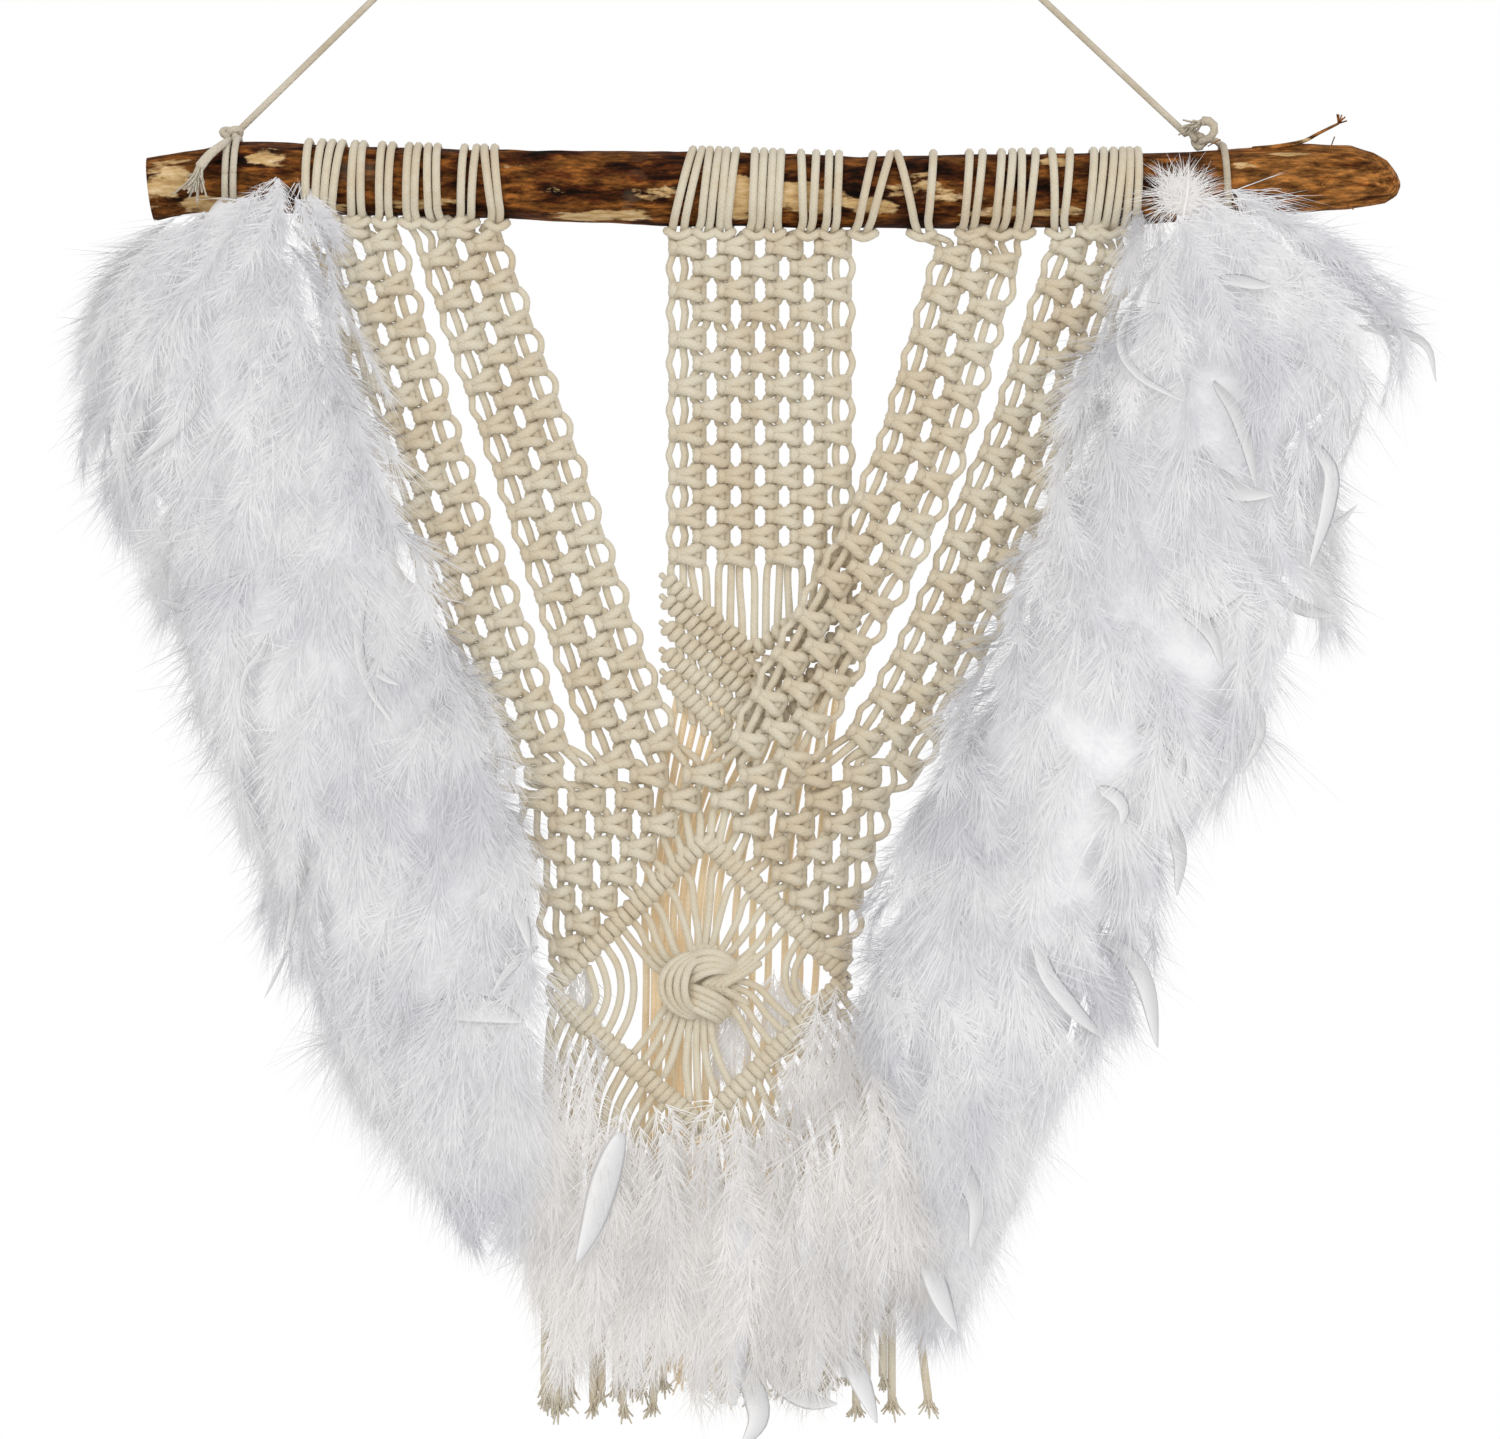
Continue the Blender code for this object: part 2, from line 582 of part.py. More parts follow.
def inner_cords():
    """Cords inside the diamond: bowed ones at its sides, the others through the large knot."""
    inner = []
    reach = LARGE_KNOT_SIZE / 2 - KNOT_INSET
    for corner, low_corner, side, bowed in INNER_CORDS:
        for k in range(bowed + INNER_KNOTTED):
            if k < bowed:
                t = BOW_FIRST + BOW_STEP * k
                x, above, below = corner.x - side * (BOW_IN + BOW_IN_STEP * k), BOW_ABOVE, BOW_BELOW
            else:
                t = KNOTTED_FIRST + KNOTTED_STEP * (k - bowed)
                x = LARGE_KNOT.x + side * (INNER_KNOTTED - 0.5 - k + bowed) * KNOT_PITCH
                above = below = reach
            top = on_line(corner, DIAMOND_TOP, t)
            low = on_line(low_corner, DIAMOND_BOTTOM, t)
            end = low.drop - BAR_SEAT
            inner.append(strand_path((
                (top.x, NET_Y, top.drop + BAR_STAY),
                (x, NET_Y, LARGE_KNOT.drop - above), (x, NET_Y, LARGE_KNOT.drop + below),
                (low.x, NET_Y, end - STRAP_TIP), (low.x, NET_Y, end))))
    return inner


# ---------------------------------------------------------------- fringe
def make_fringe(home, hidden, cotton, draw):
    """The diamond's lower bars are the backing from which the cords hang."""
    paths = []
    for side, corner in ((-1, FRINGE_LEFT), (1, FRINGE_RIGHT)):
        for k in range(FRINGE_STRANDS):
            t = (k + 0.6) / (FRINGE_STRANDS + 0.2)
            root = on_line(corner, DIAMOND_BOTTOM, t)
            sweep = (1 - t) * FRINGE_SWEEP[side]
            x_low = root.x + side * sweep
            end = FRINGE_END + draw.uniform(*FRINGE_RAGGED)
            stops = ((root.x, NET_Y, root.drop),
                     (root.x + side * (2.0 + sweep * 0.35), NET_Y, root.drop + FRINGE_SHOULDER),
                     (x_low, NET_Y, root.drop + FRINGE_PLUMB), (x_low, NET_Y, end - 8.0))
            paths.append(strand_path(stops) + [(point(x_low, NET_Y, end), FRINGE_FRAY)])
    base = add_object("fringe", tubes("fringe", paths, STRAND_RADIUS), home, cotton)
    bar = hitch_bar((FRINGE_LEFT, DIAMOND_BOTTOM, FRINGE_RIGHT), NET_Y, BAR_RIDGES)
    fuse(base, add_object("fringe_bar", tubes("fringe_bar", [bar], DIAMOND_BAR_RADIUS, 1),
                          hidden))


# ---------------------------------------------------------------- hanger
def make_tied_end(tied, home, hidden, cotton):
    """One tied end of the hanger: knot on top of the branch, wraps round it, frayed tail."""
    tail = [(point(*stop), 1.0) for stop in (tied.knot, *tied.tail)]
    tail[-1] = (tail[-1][0], TUFT)
    paths = [tail]
    if tied.link:
        paths.append(strand_path((tied.knot, tied.link)))
    base = add_object(tied.name, tubes(tied.name, paths, HANGER_RADIUS, 1), home, cotton)
    ring = bmesh.new()
    add_head(ring, Head(tied.wrap, tied.wrap))
    fuse(base, add_object(tied.name + "_wraps", to_mesh(ring, "wraps"), hidden))
    ball = bmesh.new()
    bmesh.ops.create_uvsphere(ball, u_segments=8, v_segments=6, radius=HANGER_KNOT_RADIUS * MM)
    bmesh.ops.translate(ball, verts=ball.verts, vec=point(*tied.knot))
    fuse(base, add_object(tied.name + "_knot", to_mesh(ball, "knot"), hidden))


def make_hanger(home, hidden, cotton):
    """The two tied ends and the cord between them, bent over the nail."""
    for tied in TIED_ENDS:
        make_tied_end(tied, home, hidden, cotton)
    left, right = (Vector(tied.knot) for tied in TIED_ENDS)
    bend = Vector((0.0, 0.0, -HANGER_RADIUS))
    legs = []
    for end in (left, right):
        up = (bend - end).normalized()
        foot = end + up * (HANGER_KNOT_RADIUS + CLEAR)
        legs.append([foot, foot.lerp(bend, 0.5), bend - up * NAIL_BEND])
    crown = bend + Vector((0.0, 0.0, NAIL_BEND * 0.1))
    route = legs[0] + [crown] + legs[1][::-1]
    cord = tubes("hanger_cord", [[(point(*p), 1.0) for p in route]], HANGER_RADIUS, 2)
    add_object("hanger_cord", cord, home, cotton)


# ---------------------------------------------------------------- feathers
def make_trim(name, table, side, home, white, draw):
    """Fluff along an outer edge: a lumpy slab, its flap over the strap, locks at its rim."""
    rings = []
    first, last = table[0].drop, table[-1].drop
    for i in range(TRIM_STEPS + 1):
        drop = blend(first, last, i / TRIM_STEPS)
        row = read_table(table, "drop", drop)
        lump = 1.0 + 0.10 * math.sin(i * 1.9) + draw.uniform(-0.05, 0.05)
        lock = TRIM_LOCK * draw.uniform(0.5, 1.0) if i % 2 else 0.0
        droop = TRIM_DROOP if lock else 0.0
        crown = row.crown * lump
        rim = row.outer + side * (lock - TRIM_LOCK * 0.4)
        e = row.edge
        section = (
            (row.inner, FLAP_Y, 0), (row.inner, FLAP_Y - crown * 0.14, 0),
            (blend(e, rim, 0.10), -crown * 0.72, 0), (blend(e, rim, 0.42), -crown, 0),
            (blend(e, rim, 0.80), -crown * 0.62, droop * 0.4), (rim, -crown * 0.12, droop),
            (blend(e, rim, 0.80), TRIM_BACK * 0.55, droop * 0.4),
            (blend(e, rim, 0.42), TRIM_BACK, 0), (e, TRIM_BACK * 0.8, 0), (e, FLAP_Y, 0),
        )
        rings.append([point(x, y, drop + dz) for x, y, dz in section])
    shape = bmesh.new()
    loft(shape, rings)
    add_object(name, to_mesh(shape, name), home, white)


def make_plumes(home, white, draw):
    """Loose feathers before the fringe, fused into a slab with pointed plumes below."""
    rings = []
    first, last = PLUMES[0].x, PLUMES[-1].x
    for i in range(PLUME_STEPS + 1):
        x = blend(first, last, i / PLUME_STEPS)
        row = read_table(PLUMES, "x", x)
        lock = PLUME_LOCK * draw.uniform(0.6, 1.2) if i % 2 == 0 else 0.0
        low = row.bottom - lock
        crown = row.crown * (1.0 + draw.uniform(-0.08, 0.08))
        tall = low - row.top
        section = (
            (PLUME_Y, row.top), (PLUME_Y - crown * 0.35, row.top + 2.0),
            (PLUME_Y - crown * 0.9, row.top + tall * 0.3), (PLUME_Y - crown, row.top + tall * 0.6),
            (PLUME_Y - crown * 0.5, low - 12.0), (PLUME_Y - 5.0, low), (PLUME_Y, low - 14.0),
        )
        rings.append([point(x, y, drop) for y, drop in section])
    shape = bmesh.new()
    loft(shape, rings)
    add_object("feather_fringe", to_mesh(shape, "feather_fringe"), home, white)


# ---------------------------------------------------------------- model
def main():
    for old in list(bpy.data.objects):
        bpy.data.objects.remove(old)
    draw = random.Random(7)
    home = collection("macrame_wall_hanging")
    hidden = collection("fused_parts")
    bark = finish("bark", (0.17, 0.085, 0.035), 0.75)
    cotton = finish("cotton", (0.72, 0.62, 0.46), 0.9)
    thin_cotton = finish("hanger_cotton", (0.68, 0.6, 0.46), 0.9)
    white = finish("feathers", (0.85, 0.85, 0.88), 0.8)

    make_branch(home, hidden, bark)
    make_hanger(home, hidden, thin_cotton)
    for strap in STRAPS:
        make_strap(strap, home, hidden, cotton)
    make_panel(home, hidden, cotton)
    make_vee_net(home, hidden, cotton)
    make_fringe(home, hidden, cotton, draw)
    for base in home.objects:
        if base.modifiers and base.name != "branch":
            merge_flats(base)
    make_trim("feather_trim_left", TRIM_LEFT, -1, home, white, draw)
    make_trim("feather_trim_right", TRIM_RIGHT, 1, home, white, draw)
    make_plumes(home, white, draw)


main()
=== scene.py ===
"""Looks of a knotted cotton wall hanging with feather trims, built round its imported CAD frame.

Lengths are metres, with +Z up and +Y to the back.  Places on the hanging are read off its own
chart: one chart unit is 0.48 mm, "across" grows to the right and "down" grows downwards, and a
depth is a y in millimetres, negative towards the viewer.
"""
from __future__ import annotations

import logging
from dataclasses import dataclass, field
from enum import Enum
from typing import Sequence

import bpy
import numpy as np
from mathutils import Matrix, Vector

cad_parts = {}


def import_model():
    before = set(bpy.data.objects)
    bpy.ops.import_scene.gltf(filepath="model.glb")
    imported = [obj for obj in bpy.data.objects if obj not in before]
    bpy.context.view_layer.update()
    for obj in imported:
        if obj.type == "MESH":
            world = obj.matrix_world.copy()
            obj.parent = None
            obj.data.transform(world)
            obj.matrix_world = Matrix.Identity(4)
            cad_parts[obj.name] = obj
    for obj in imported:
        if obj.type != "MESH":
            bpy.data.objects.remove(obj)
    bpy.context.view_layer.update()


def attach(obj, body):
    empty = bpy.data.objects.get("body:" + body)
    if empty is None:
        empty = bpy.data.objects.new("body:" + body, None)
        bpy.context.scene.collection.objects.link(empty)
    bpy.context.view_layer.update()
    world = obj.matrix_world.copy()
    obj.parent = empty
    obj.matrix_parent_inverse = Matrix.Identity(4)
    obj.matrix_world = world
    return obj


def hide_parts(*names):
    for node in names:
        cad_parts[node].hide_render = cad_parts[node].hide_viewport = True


Array = np.ndarray
Color = tuple[float, float, float]
Course = tuple[tuple[float, ...], ...]      # places across, down and sometimes deep on the chart
Draw = np.random.Generator
Material, Node, Socket = bpy.types.Material, bpy.types.Node, bpy.types.NodeSocket
log = logging.getLogger("wall_hanging")

UNIT = 0.00048              # metres in one chart unit
ACROSS_ZERO = 701.0         # chart place of the nail, which is the origin
DOWN_ZERO = -324.0
MM = 0.001
CORD = 0.0040               # thickness of the knotted cord
KNOTTED = 0.00222           # its radius where it is knotted, because soft cotton spreads
FINE_CORD = 0.0034          # thickness of the cord that carries the branch
NET_DEPTH = -4.0            # middle plane of the knotted work
CORD_STEP = 0.0018          # spacing of the rings along a knotted cord
LOOP_STEP = 0.0022          # and along its loop over the branch
CORD_SIDES = 7
TOWARDS_VIEWER = np.array([0.0, -1.0, 0.0])
RIGHT = np.array([1.0, 0.0, 0.0])
UP = np.array([0.0, 0.0, 1.0])
# Down that would stand out past one of these (axis, side, place) lies flatter.
DOWN_EDGES = ((0, -1.0, -0.307), (0, 1.0, 0.357), (1, -1.0, -0.063), (1, 1.0, 0.017))
EDGE_REACH = 0.012          # how far past it the down still reaches, in metres
VANE_FRONT = -74.0          # foremost depth of a stiff feather end, in millimetres


# ------------------------------------------------------------------ places, curves and meshes
def chart(across: Array | float, down: Array | float, depth: Array | float = NET_DEPTH) -> Array:
    """World points of places on the chart.

    Args:
        across: Chart units to the right.
        down: Chart units downwards.
        depth: Millimetres behind the plane of the branch's axis.

    Returns:
        Points in metres, the last axis holding x, y and z.
    """
    across, down, depth = np.broadcast_arrays(*(np.asarray(v, float) for v in (across, down, depth)))
    return np.stack(((across - ACROSS_ZERO) * UNIT, depth * MM, (DOWN_ZERO - down) * UNIT), axis=-1)


def on_chart(course: Course | Array) -> Array:
    """World points of a course on the chart."""
    return chart(*np.array(course, float).T)


def unit(vectors: Array) -> Array:
    """Vectors scaled to length one."""
    return vectors / np.maximum(np.linalg.norm(vectors, axis=-1, keepdims=True), 1e-12)


def run(path: Array) -> Array:
    """Length along a path up to each of its points."""
    return np.concatenate(([0.0], np.cumsum(np.linalg.norm(np.diff(path, axis=0), axis=1))))


def smooth(points: Sequence[Array] | Array, step: float = CORD_STEP, detail: int = 9) -> Array:
    """Centripetal Catmull-Rom curve through the points, cut into equal steps of length.

    Each span blends its four neighbouring points pair by pair, on knots spaced by the square
    root of their distances.

    Args:
        points: Control points in order: x, y, z and any further values that go with them.
        step: Wanted spacing of the result.
        detail: Samples in each span before the curve is cut evenly.

    Returns:
        Points along the curve.
    """
    p = np.asarray(points, float)
    q = np.vstack((2 * p[:1] - p[1:2], p, 2 * p[-1:] - p[-2:-1]))
    gaps = np.linalg.norm(np.diff(q[:, :3], axis=0), axis=1)
    knots = np.concatenate(([0.0], np.cumsum(np.sqrt(gaps) + 1e-6)))
    spans = len(q) - 3
    t0, t1, t2, t3 = (knots[i:spans + i, None, None] for i in range(4))
    p0, p1, p2, p3 = (q[i:spans + i, None, :] for i in range(4))
    t = t1 + (t2 - t1) * np.linspace(0, 1, detail, endpoint=False)[None, :, None]
    a1 = ((t1 - t) * p0 + (t - t0) * p1) / (t1 - t0)
    a2 = ((t2 - t) * p1 + (t - t1) * p2) / (t2 - t1)
    a3 = ((t3 - t) * p2 + (t - t2) * p3) / (t3 - t2)
    b1 = ((t2 - t) * a1 + (t - t0) * a2) / (t2 - t0)
    b2 = ((t3 - t) * a2 + (t - t1) * a3) / (t3 - t1)
    curve = (((t2 - t) * b1 + (t - t1) * b2) / (t2 - t1)).reshape(-1, p.shape[1])
    curve = np.vstack((curve, p[-1:]))
    length = run(curve[:, :3])
    at = np.linspace(0, length[-1], max(2, int(round(length[-1] / step)) + 1))
    return np.stack([np.interp(at, length, column) for column in curve.T], axis=1)


def path_frames(path: Array) -> tuple[Array, Array]:
    """Two directions across a path at each point, which don't twist round it.

    Any normal is taken at each point, and the angle by which the smallest turn from one tangent
    to the next misses it is summed along the path and turned back.

    Args:
        path: Points along the path.

    Returns:
        The normals and the binormals.
    """
    tangent = unit(np.gradient(path, axis=0))
    guide = np.where(np.abs(tangent[:, 1:2]) < 0.8, [[0.0, 1.0, 0.0]], [[1.0, 0.0, 0.0]])
    normal = unit(np.cross(tangent, guide))
    binormal = np.cross(tangent, normal)
    here, there = tangent[:-1], tangent[1:]
    spread = 1.0 + (here * there).sum(1, keepdims=True)
    ahead = (normal[:-1] * there).sum(1, keepdims=True) / np.maximum(spread, 1e-6)
    moved = normal[:-1] - ahead * (here + there)
    turn = np.arctan2((moved * binormal[1:]).sum(1), (moved * normal[1:]).sum(1))
    angle = np.concatenate(([0.0], np.cumsum(turn)))[:, None]
    turned = np.cos(angle) * normal + np.sin(angle) * binormal
    return turned, np.cross(tangent, turned)


@dataclass
class Surface:
    """Points, faces and pattern places gathered for one mesh, and what its ribbons face."""

    points: list[Array] = field(default_factory=list)
    quads: list[Array] = field(default_factory=list)
    quad_uvs: list[Array] = field(default_factory=list)
    triangles: list[Array] = field(default_factory=list)
    triangle_uvs: list[Array] = field(default_factory=list)
    facings: dict[int, Array] = field(default_factory=dict)
    count: int = 0

    def add(self, points: Array, quads: Array, quad_uv: Array,
            triangles: Array | None = None, triangle_uv: Array | None = None) -> None:
        """Add faces over new points.

        Args:
            points: New points, shape (n, 3).
            quads: Four-cornered faces by the new points' numbers.
            quad_uv: Pattern place of each corner of them.
            triangles: Three-cornered faces, likewise.
            triangle_uv: Pattern place of each of their corners.
        """
        self.quads.append(quads.reshape(-1, 4) + self.count)
        self.quad_uvs.append(quad_uv.reshape(-1, 2))
        if triangles is not None and triangle_uv is not None:
            self.triangles.append(triangles.reshape(-1, 3) + self.count)
            self.triangle_uvs.append(triangle_uv.reshape(-1, 2))
        self.points.append(points.reshape(-1, 3))
        self.count += len(self.points[-1])

    def skin(self, points: Array, along: Array, ends: Array) -> None:
        """Closed skin over a grid of points, rows along a piece and columns round it.

        A face points along the step round the piece crossed with the step along it, so columns
        that run the other way would turn it inside out.

        Args:
            points: Shape (rows, columns, 3).
            along: Pattern place of each row.
            ends: The points that close the first and the last row.
        """
        rows, columns = points.shape[:2]
        number = np.arange(rows * columns).reshape(rows, columns)
        after = np.roll(number, -1, axis=1)
        quads = np.stack((number[:-1], after[:-1], after[1:], number[1:]), axis=-1)
        u, low = np.broadcast_arrays(np.arange(columns) / columns, along[:-1, None])
        high = np.broadcast_to(along[1:, None], u.shape)
        uv = np.stack([np.stack(corner, -1) for corner in (
            (u, low), (u + 1 / columns, low), (u + 1 / columns, high), (u, high))], axis=2)
        start = np.stack((after[0], number[0], np.full(columns, rows * columns)), axis=-1)
        end = np.stack((number[-1], after[-1], np.full(columns, rows * columns + 1)), axis=-1)
        tips = np.zeros((2 * columns, 3, 2))
        tips[:columns, :, 1], tips[columns:, :, 1] = along[0], along[-1]
        self.add(np.vstack((points.reshape(-1, 3), ends)), quads, uv, np.vstack((start, end)), tips)

    def sweep(self, path: Array, radius: Array | float, sides: int = CORD_SIDES) -> None:
        """Carry a circle along a path and close both ends with a point.

        Ring i is path[i] + radius[i] * (normal cos a + binormal sin a) for even angles a.

        Args:
            path: Middle line.
            radius: One radius, or one for each point of the path.
            sides: Corners of the circle.
        """
        normal, binormal = path_frames(path)
        angle = (2 * np.pi * np.arange(sides) / sides)[None, :, None]
        ring = normal[:, None] * np.cos(angle) + binormal[:, None] * np.sin(angle)
        wide = np.broadcast_to(np.asarray(radius, float), (len(path),))
        bulge = wide[[0, -1], None] * 0.5 * unit(np.stack((path[0] - path[1], path[-1] - path[-2])))
        self.skin(path[:, None] + ring * wide[:, None, None], run(path) / CORD, path[[0, -1]] + bulge)

    def cord(self, course: Array) -> None:
        """Sweep a knotted cord along points whose fourth value is its share of full thickness."""
        self.sweep(course[:, :3], course[:, 3] * KNOTTED)

    def grid(self, points: Array) -> None:
        """Closed skin over rows of points, whose first and last row meet in their middles."""
        self.skin(points, np.linspace(0, 1, len(points)), np.stack((points[0].mean(0), points[-1].mean(0))))

    def ribbons(self, root: Array, way: Array, length: Array, bend: Array, width: Array,
                facing: Array) -> None:
        """Many thin tapered ribbons, each of a four-cornered face and a pointed one.

        A point at share s of a ribbon is root + way * length * s + bend * s squared, and its
        half width shrinks from half of width to nothing at the tip.  The ribbon is shaded as
        part of the soft body that it lies on, by the direction that it faces.

        Args:
            root: Where each starts, shape (n, 3).
            way: Its direction there.
            length: Its length, shape (n,).
            bend: How far its tip is drawn aside, shape (n, 3).
            width: Its width at the root, shape (n,).
            facing: The direction that its flat side faces, shape (n, 3).
        """
        number = len(root)
        share = np.array([0.0, 0.52, 1.0])
        taper = np.array([1.0, 0.9])
        side = unit(np.cross(way, facing))
        line = (root[:, None] + way[:, None] * (length[:, None] * share)[..., None]
                + bend[:, None] * (share ** 2)[None, :, None])
        half = (0.5 * width[:, None] * taper)[..., None] * side[:, None]
        points = np.concatenate((line[:, :2] - half, line[:, :2] + half, line[:, 2:]), axis=1)
        for axis, sign, edge in DOWN_EDGES:
            past = np.maximum(sign * (points[..., axis] - edge), 0.0)
            points[..., axis] += sign * (EDGE_REACH * np.tanh(past / EDGE_REACH) - past)
        base = (np.arange(number) * 5)[:, None]
        quads, triangles = base + np.array((0, 2, 3, 1)), base + np.array((1, 3, 4))
        quad_uv = np.tile(np.array([[0, 0], [1, 0], [1, 0.52], [0, 0.52]]), (number, 1))
        tri_uv = np.tile(np.array([[0, 0.52], [1, 0.52], [0.5, 1.0]]), (number, 1))
        self.facings[self.count] = np.repeat(facing, 5, axis=0)
        self.add(points, quads, quad_uv, triangles, tri_uv)

    def build(self, name: str, finish: Material) -> bpy.types.Object:
        """Make the mesh and its object, smooth shaded.

        Args:
            name: Name of the piece.
            finish: Its material.

        Returns:
            The object, at the origin and not yet riding on a body.
        """
        quads = np.vstack(self.quads)
        triangles = np.vstack(self.triangles) if self.triangles else np.zeros((0, 3), int)
        corners = np.concatenate((quads.ravel(), triangles.ravel()))
        uvs = np.concatenate(self.quad_uvs + self.triangle_uvs)
        starts = np.concatenate((np.arange(len(quads)) * 4,
                                 len(quads) * 4 + np.arange(len(triangles)) * 3))
        mesh = bpy.data.meshes.new(name)
        points = np.concatenate(self.points)
        mesh.vertices.add(len(points))
        mesh.vertices.foreach_set("co", points.astype(np.float32).ravel())
        mesh.loops.add(len(corners))
        mesh.loops.foreach_set("vertex_index", corners.astype(np.int32))
        mesh.polygons.add(len(starts))
        mesh.polygons.foreach_set("loop_start", starts.astype(np.int32))
        mesh.update(calc_edges=True)
        layer = mesh.uv_layers.new(name="pattern")
        layer.data.foreach_set("uv", uvs.astype(np.float32).ravel())
        mesh.shade_smooth()
        if self.facings:
            normals = np.zeros((len(points), 3))
            for first, facing in self.facings.items():
                normals[first:first + len(facing)] = facing
            mesh.normals_split_custom_set_from_vertices(normals.tolist())
        mesh.materials.append(finish)
        piece = bpy.data.objects.new(name, mesh)
        bpy.context.scene.collection.objects.link(piece)
        return piece


def hand_over(piece: bpy.types.Object, slot: str, *nodes: str) -> None:
    """Let a piece ride on the body, and hide the CAD nodes that it stands for.

    Args:
        piece: The finished piece.
        slot: Not used.
        *nodes: CAD nodes that it replaces.
    """
    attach(piece, "root")
    if nodes:
        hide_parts(*nodes)
    log.info("%s: %d faces", piece.name, len(piece.data.polygons))


def mark(piece: bpy.types.Object, name: str, values: Array) -> None:
    """Store a value at each point of a piece for its finish to read."""
    layer = piece.data.attributes.new(name, "FLOAT", "POINT")
    layer.data.foreach_set("value", values.astype(np.float32))


# ------------------------------------------------------------------ finishes
class NodeSheet:
    """A node tree that is filled from the left to the right."""

    def __init__(self, tree: bpy.types.NodeTree) -> None:
        """Take the tree to fill."""
        self.tree = tree
        self.column = 0

    def fill(self, node: Node, values: dict[str | int, object]) -> None:
        """Set sockets of a node by name or number.

        Args:
            node: The node.
            values: What each gets: a link, a number, a vector, or a colour without its opacity.
        """
        for name, value in values.items():
            socket = node.inputs[name]
            if isinstance(value, Socket):
                self.tree.links.new(value, socket)
            else:
                socket.default_value = (*value, 1.0) if socket.type == "RGBA" else value

    def node(self, kind: str, **values: object) -> Node:
        """Add a node and set it up.

        Args:
            kind: Blender's name of the node type.
            **values: Properties, and under "inputs" what its sockets get.

        Returns:
            The new node.
        """
        made = self.tree.nodes.new(kind)
        self.column += 1
        made.location = (200.0 * self.column, 0.0)
        inputs = values.pop("inputs", {})
        for name, value in values.items():
            setattr(made, name, value)
        self.fill(made, inputs)
        return made

    def ramp(self, factor: Socket, *stops: tuple[float, Color]) -> Socket:
        """Add a colour ramp.

        Args:
            factor: What it reads.
            *stops: Places and colours.

        Returns:
            Its colour.
        """
        made = self.node("ShaderNodeValToRGB", inputs={"Fac": factor})
        ramp = made.color_ramp
        while len(ramp.elements) < len(stops):
            ramp.elements.new(0.5)
        for element, (at, color) in zip(ramp.elements, stops):
            element.position = at
            element.color = (*color, 1.0)
        return made.outputs["Color"]

    def mix(self, factor: object, first: object, second: object, blend: str = "MIX") -> Socket:
        """Blend two colours, each a colour or a link, by a factor."""
        inputs = {0: factor, 6: first, 7: second}
        return self.node("ShaderNodeMix", data_type="RGBA", blend_type=blend, inputs=inputs).outputs[2]

    def math(self, operation: str, *values: object) -> Socket:
        """Reckon with numbers or links."""
        return self.node("ShaderNodeMath", operation=operation, inputs=dict(enumerate(values))).outputs[0]

    def remap(self, value: Socket, low: float, high: float, first: float = 0.0, last: float = 1.0) -> Socket:
        """Turn the range from low to high into that from first to last."""
        inputs = {"Value": value, "From Min": low, "From Max": high, "To Min": first, "To Max": last}
        return self.node("ShaderNodeMapRange", inputs=inputs).outputs["Result"]

    def noise(self, place: Socket, scale: float | Socket, detail: float, roughness: float) -> Socket:
        """Add a Noise texture and give its value."""
        inputs = {"Vector": place, "Scale": scale, "Detail": detail, "Roughness": roughness}
        return self.node("ShaderNodeTexNoise", inputs=inputs).outputs["Fac"]

    def along_branch(self, place: Socket, share: float) -> Socket:
        """Draw a pattern out along X, by shrinking its place there to a share."""
        return self.node("ShaderNodeMapping", inputs={"Vector": place, "Scale": (share, 1.0, 1.0)}).outputs[0]

    def bump(self, height: Socket, strength: float, distance: float, **below: Socket) -> Socket:
        """Raise a surface by a height, over a normal that another bump may give."""
        inputs = {"Height": height, "Strength": strength, "Distance": distance, **below}
        return self.node("ShaderNodeBump", inputs=inputs).outputs["Normal"]

    def coordinates(self, name: str) -> Socket:
        """The Object or UV coordinates."""
        return self.node("ShaderNodeTexCoord").outputs[name]

    def marked(self, name: str) -> Socket:
        """A value stored at the piece's points."""
        return self.node("ShaderNodeAttribute", attribute_name=name).outputs["Fac"]

    def effect(self, name: str, **inputs: object) -> dict[str, Socket]:
        """Place a shared effect group, with values or links by socket name."""
        made = self.node("ShaderNodeGroup", node_tree=bpy.data.node_groups[name], inputs=inputs)
        return {output.name: output for output in made.outputs}


def effect_group(name: str, place: str, values: dict[str, float], outputs: Sequence[str]) -> NodeSheet:
    """An empty shader node group with named sockets.

    Args:
        name: Name of the effect.
        place: Name of the place that it reads.
        values: First value of each other input.
        outputs: Names of its outputs, which are all values.

    Returns:
        A sheet over the group, with its Group Input and Group Output in place.
    """
    group = bpy.data.node_groups.new(name, "ShaderNodeTree")
    group.interface.new_socket(place, in_out="INPUT", socket_type="NodeSocketVector")
    for label, value in values.items():
        socket = group.interface.new_socket(label, in_out="INPUT", socket_type="NodeSocketFloat")
        socket.default_value = value
    for label in outputs:
        group.interface.new_socket(label, in_out="OUTPUT", socket_type="NodeSocketFloat")
    group.nodes.new("NodeGroupInput")
    group.nodes.new("NodeGroupOutput")
    return NodeSheet(group)


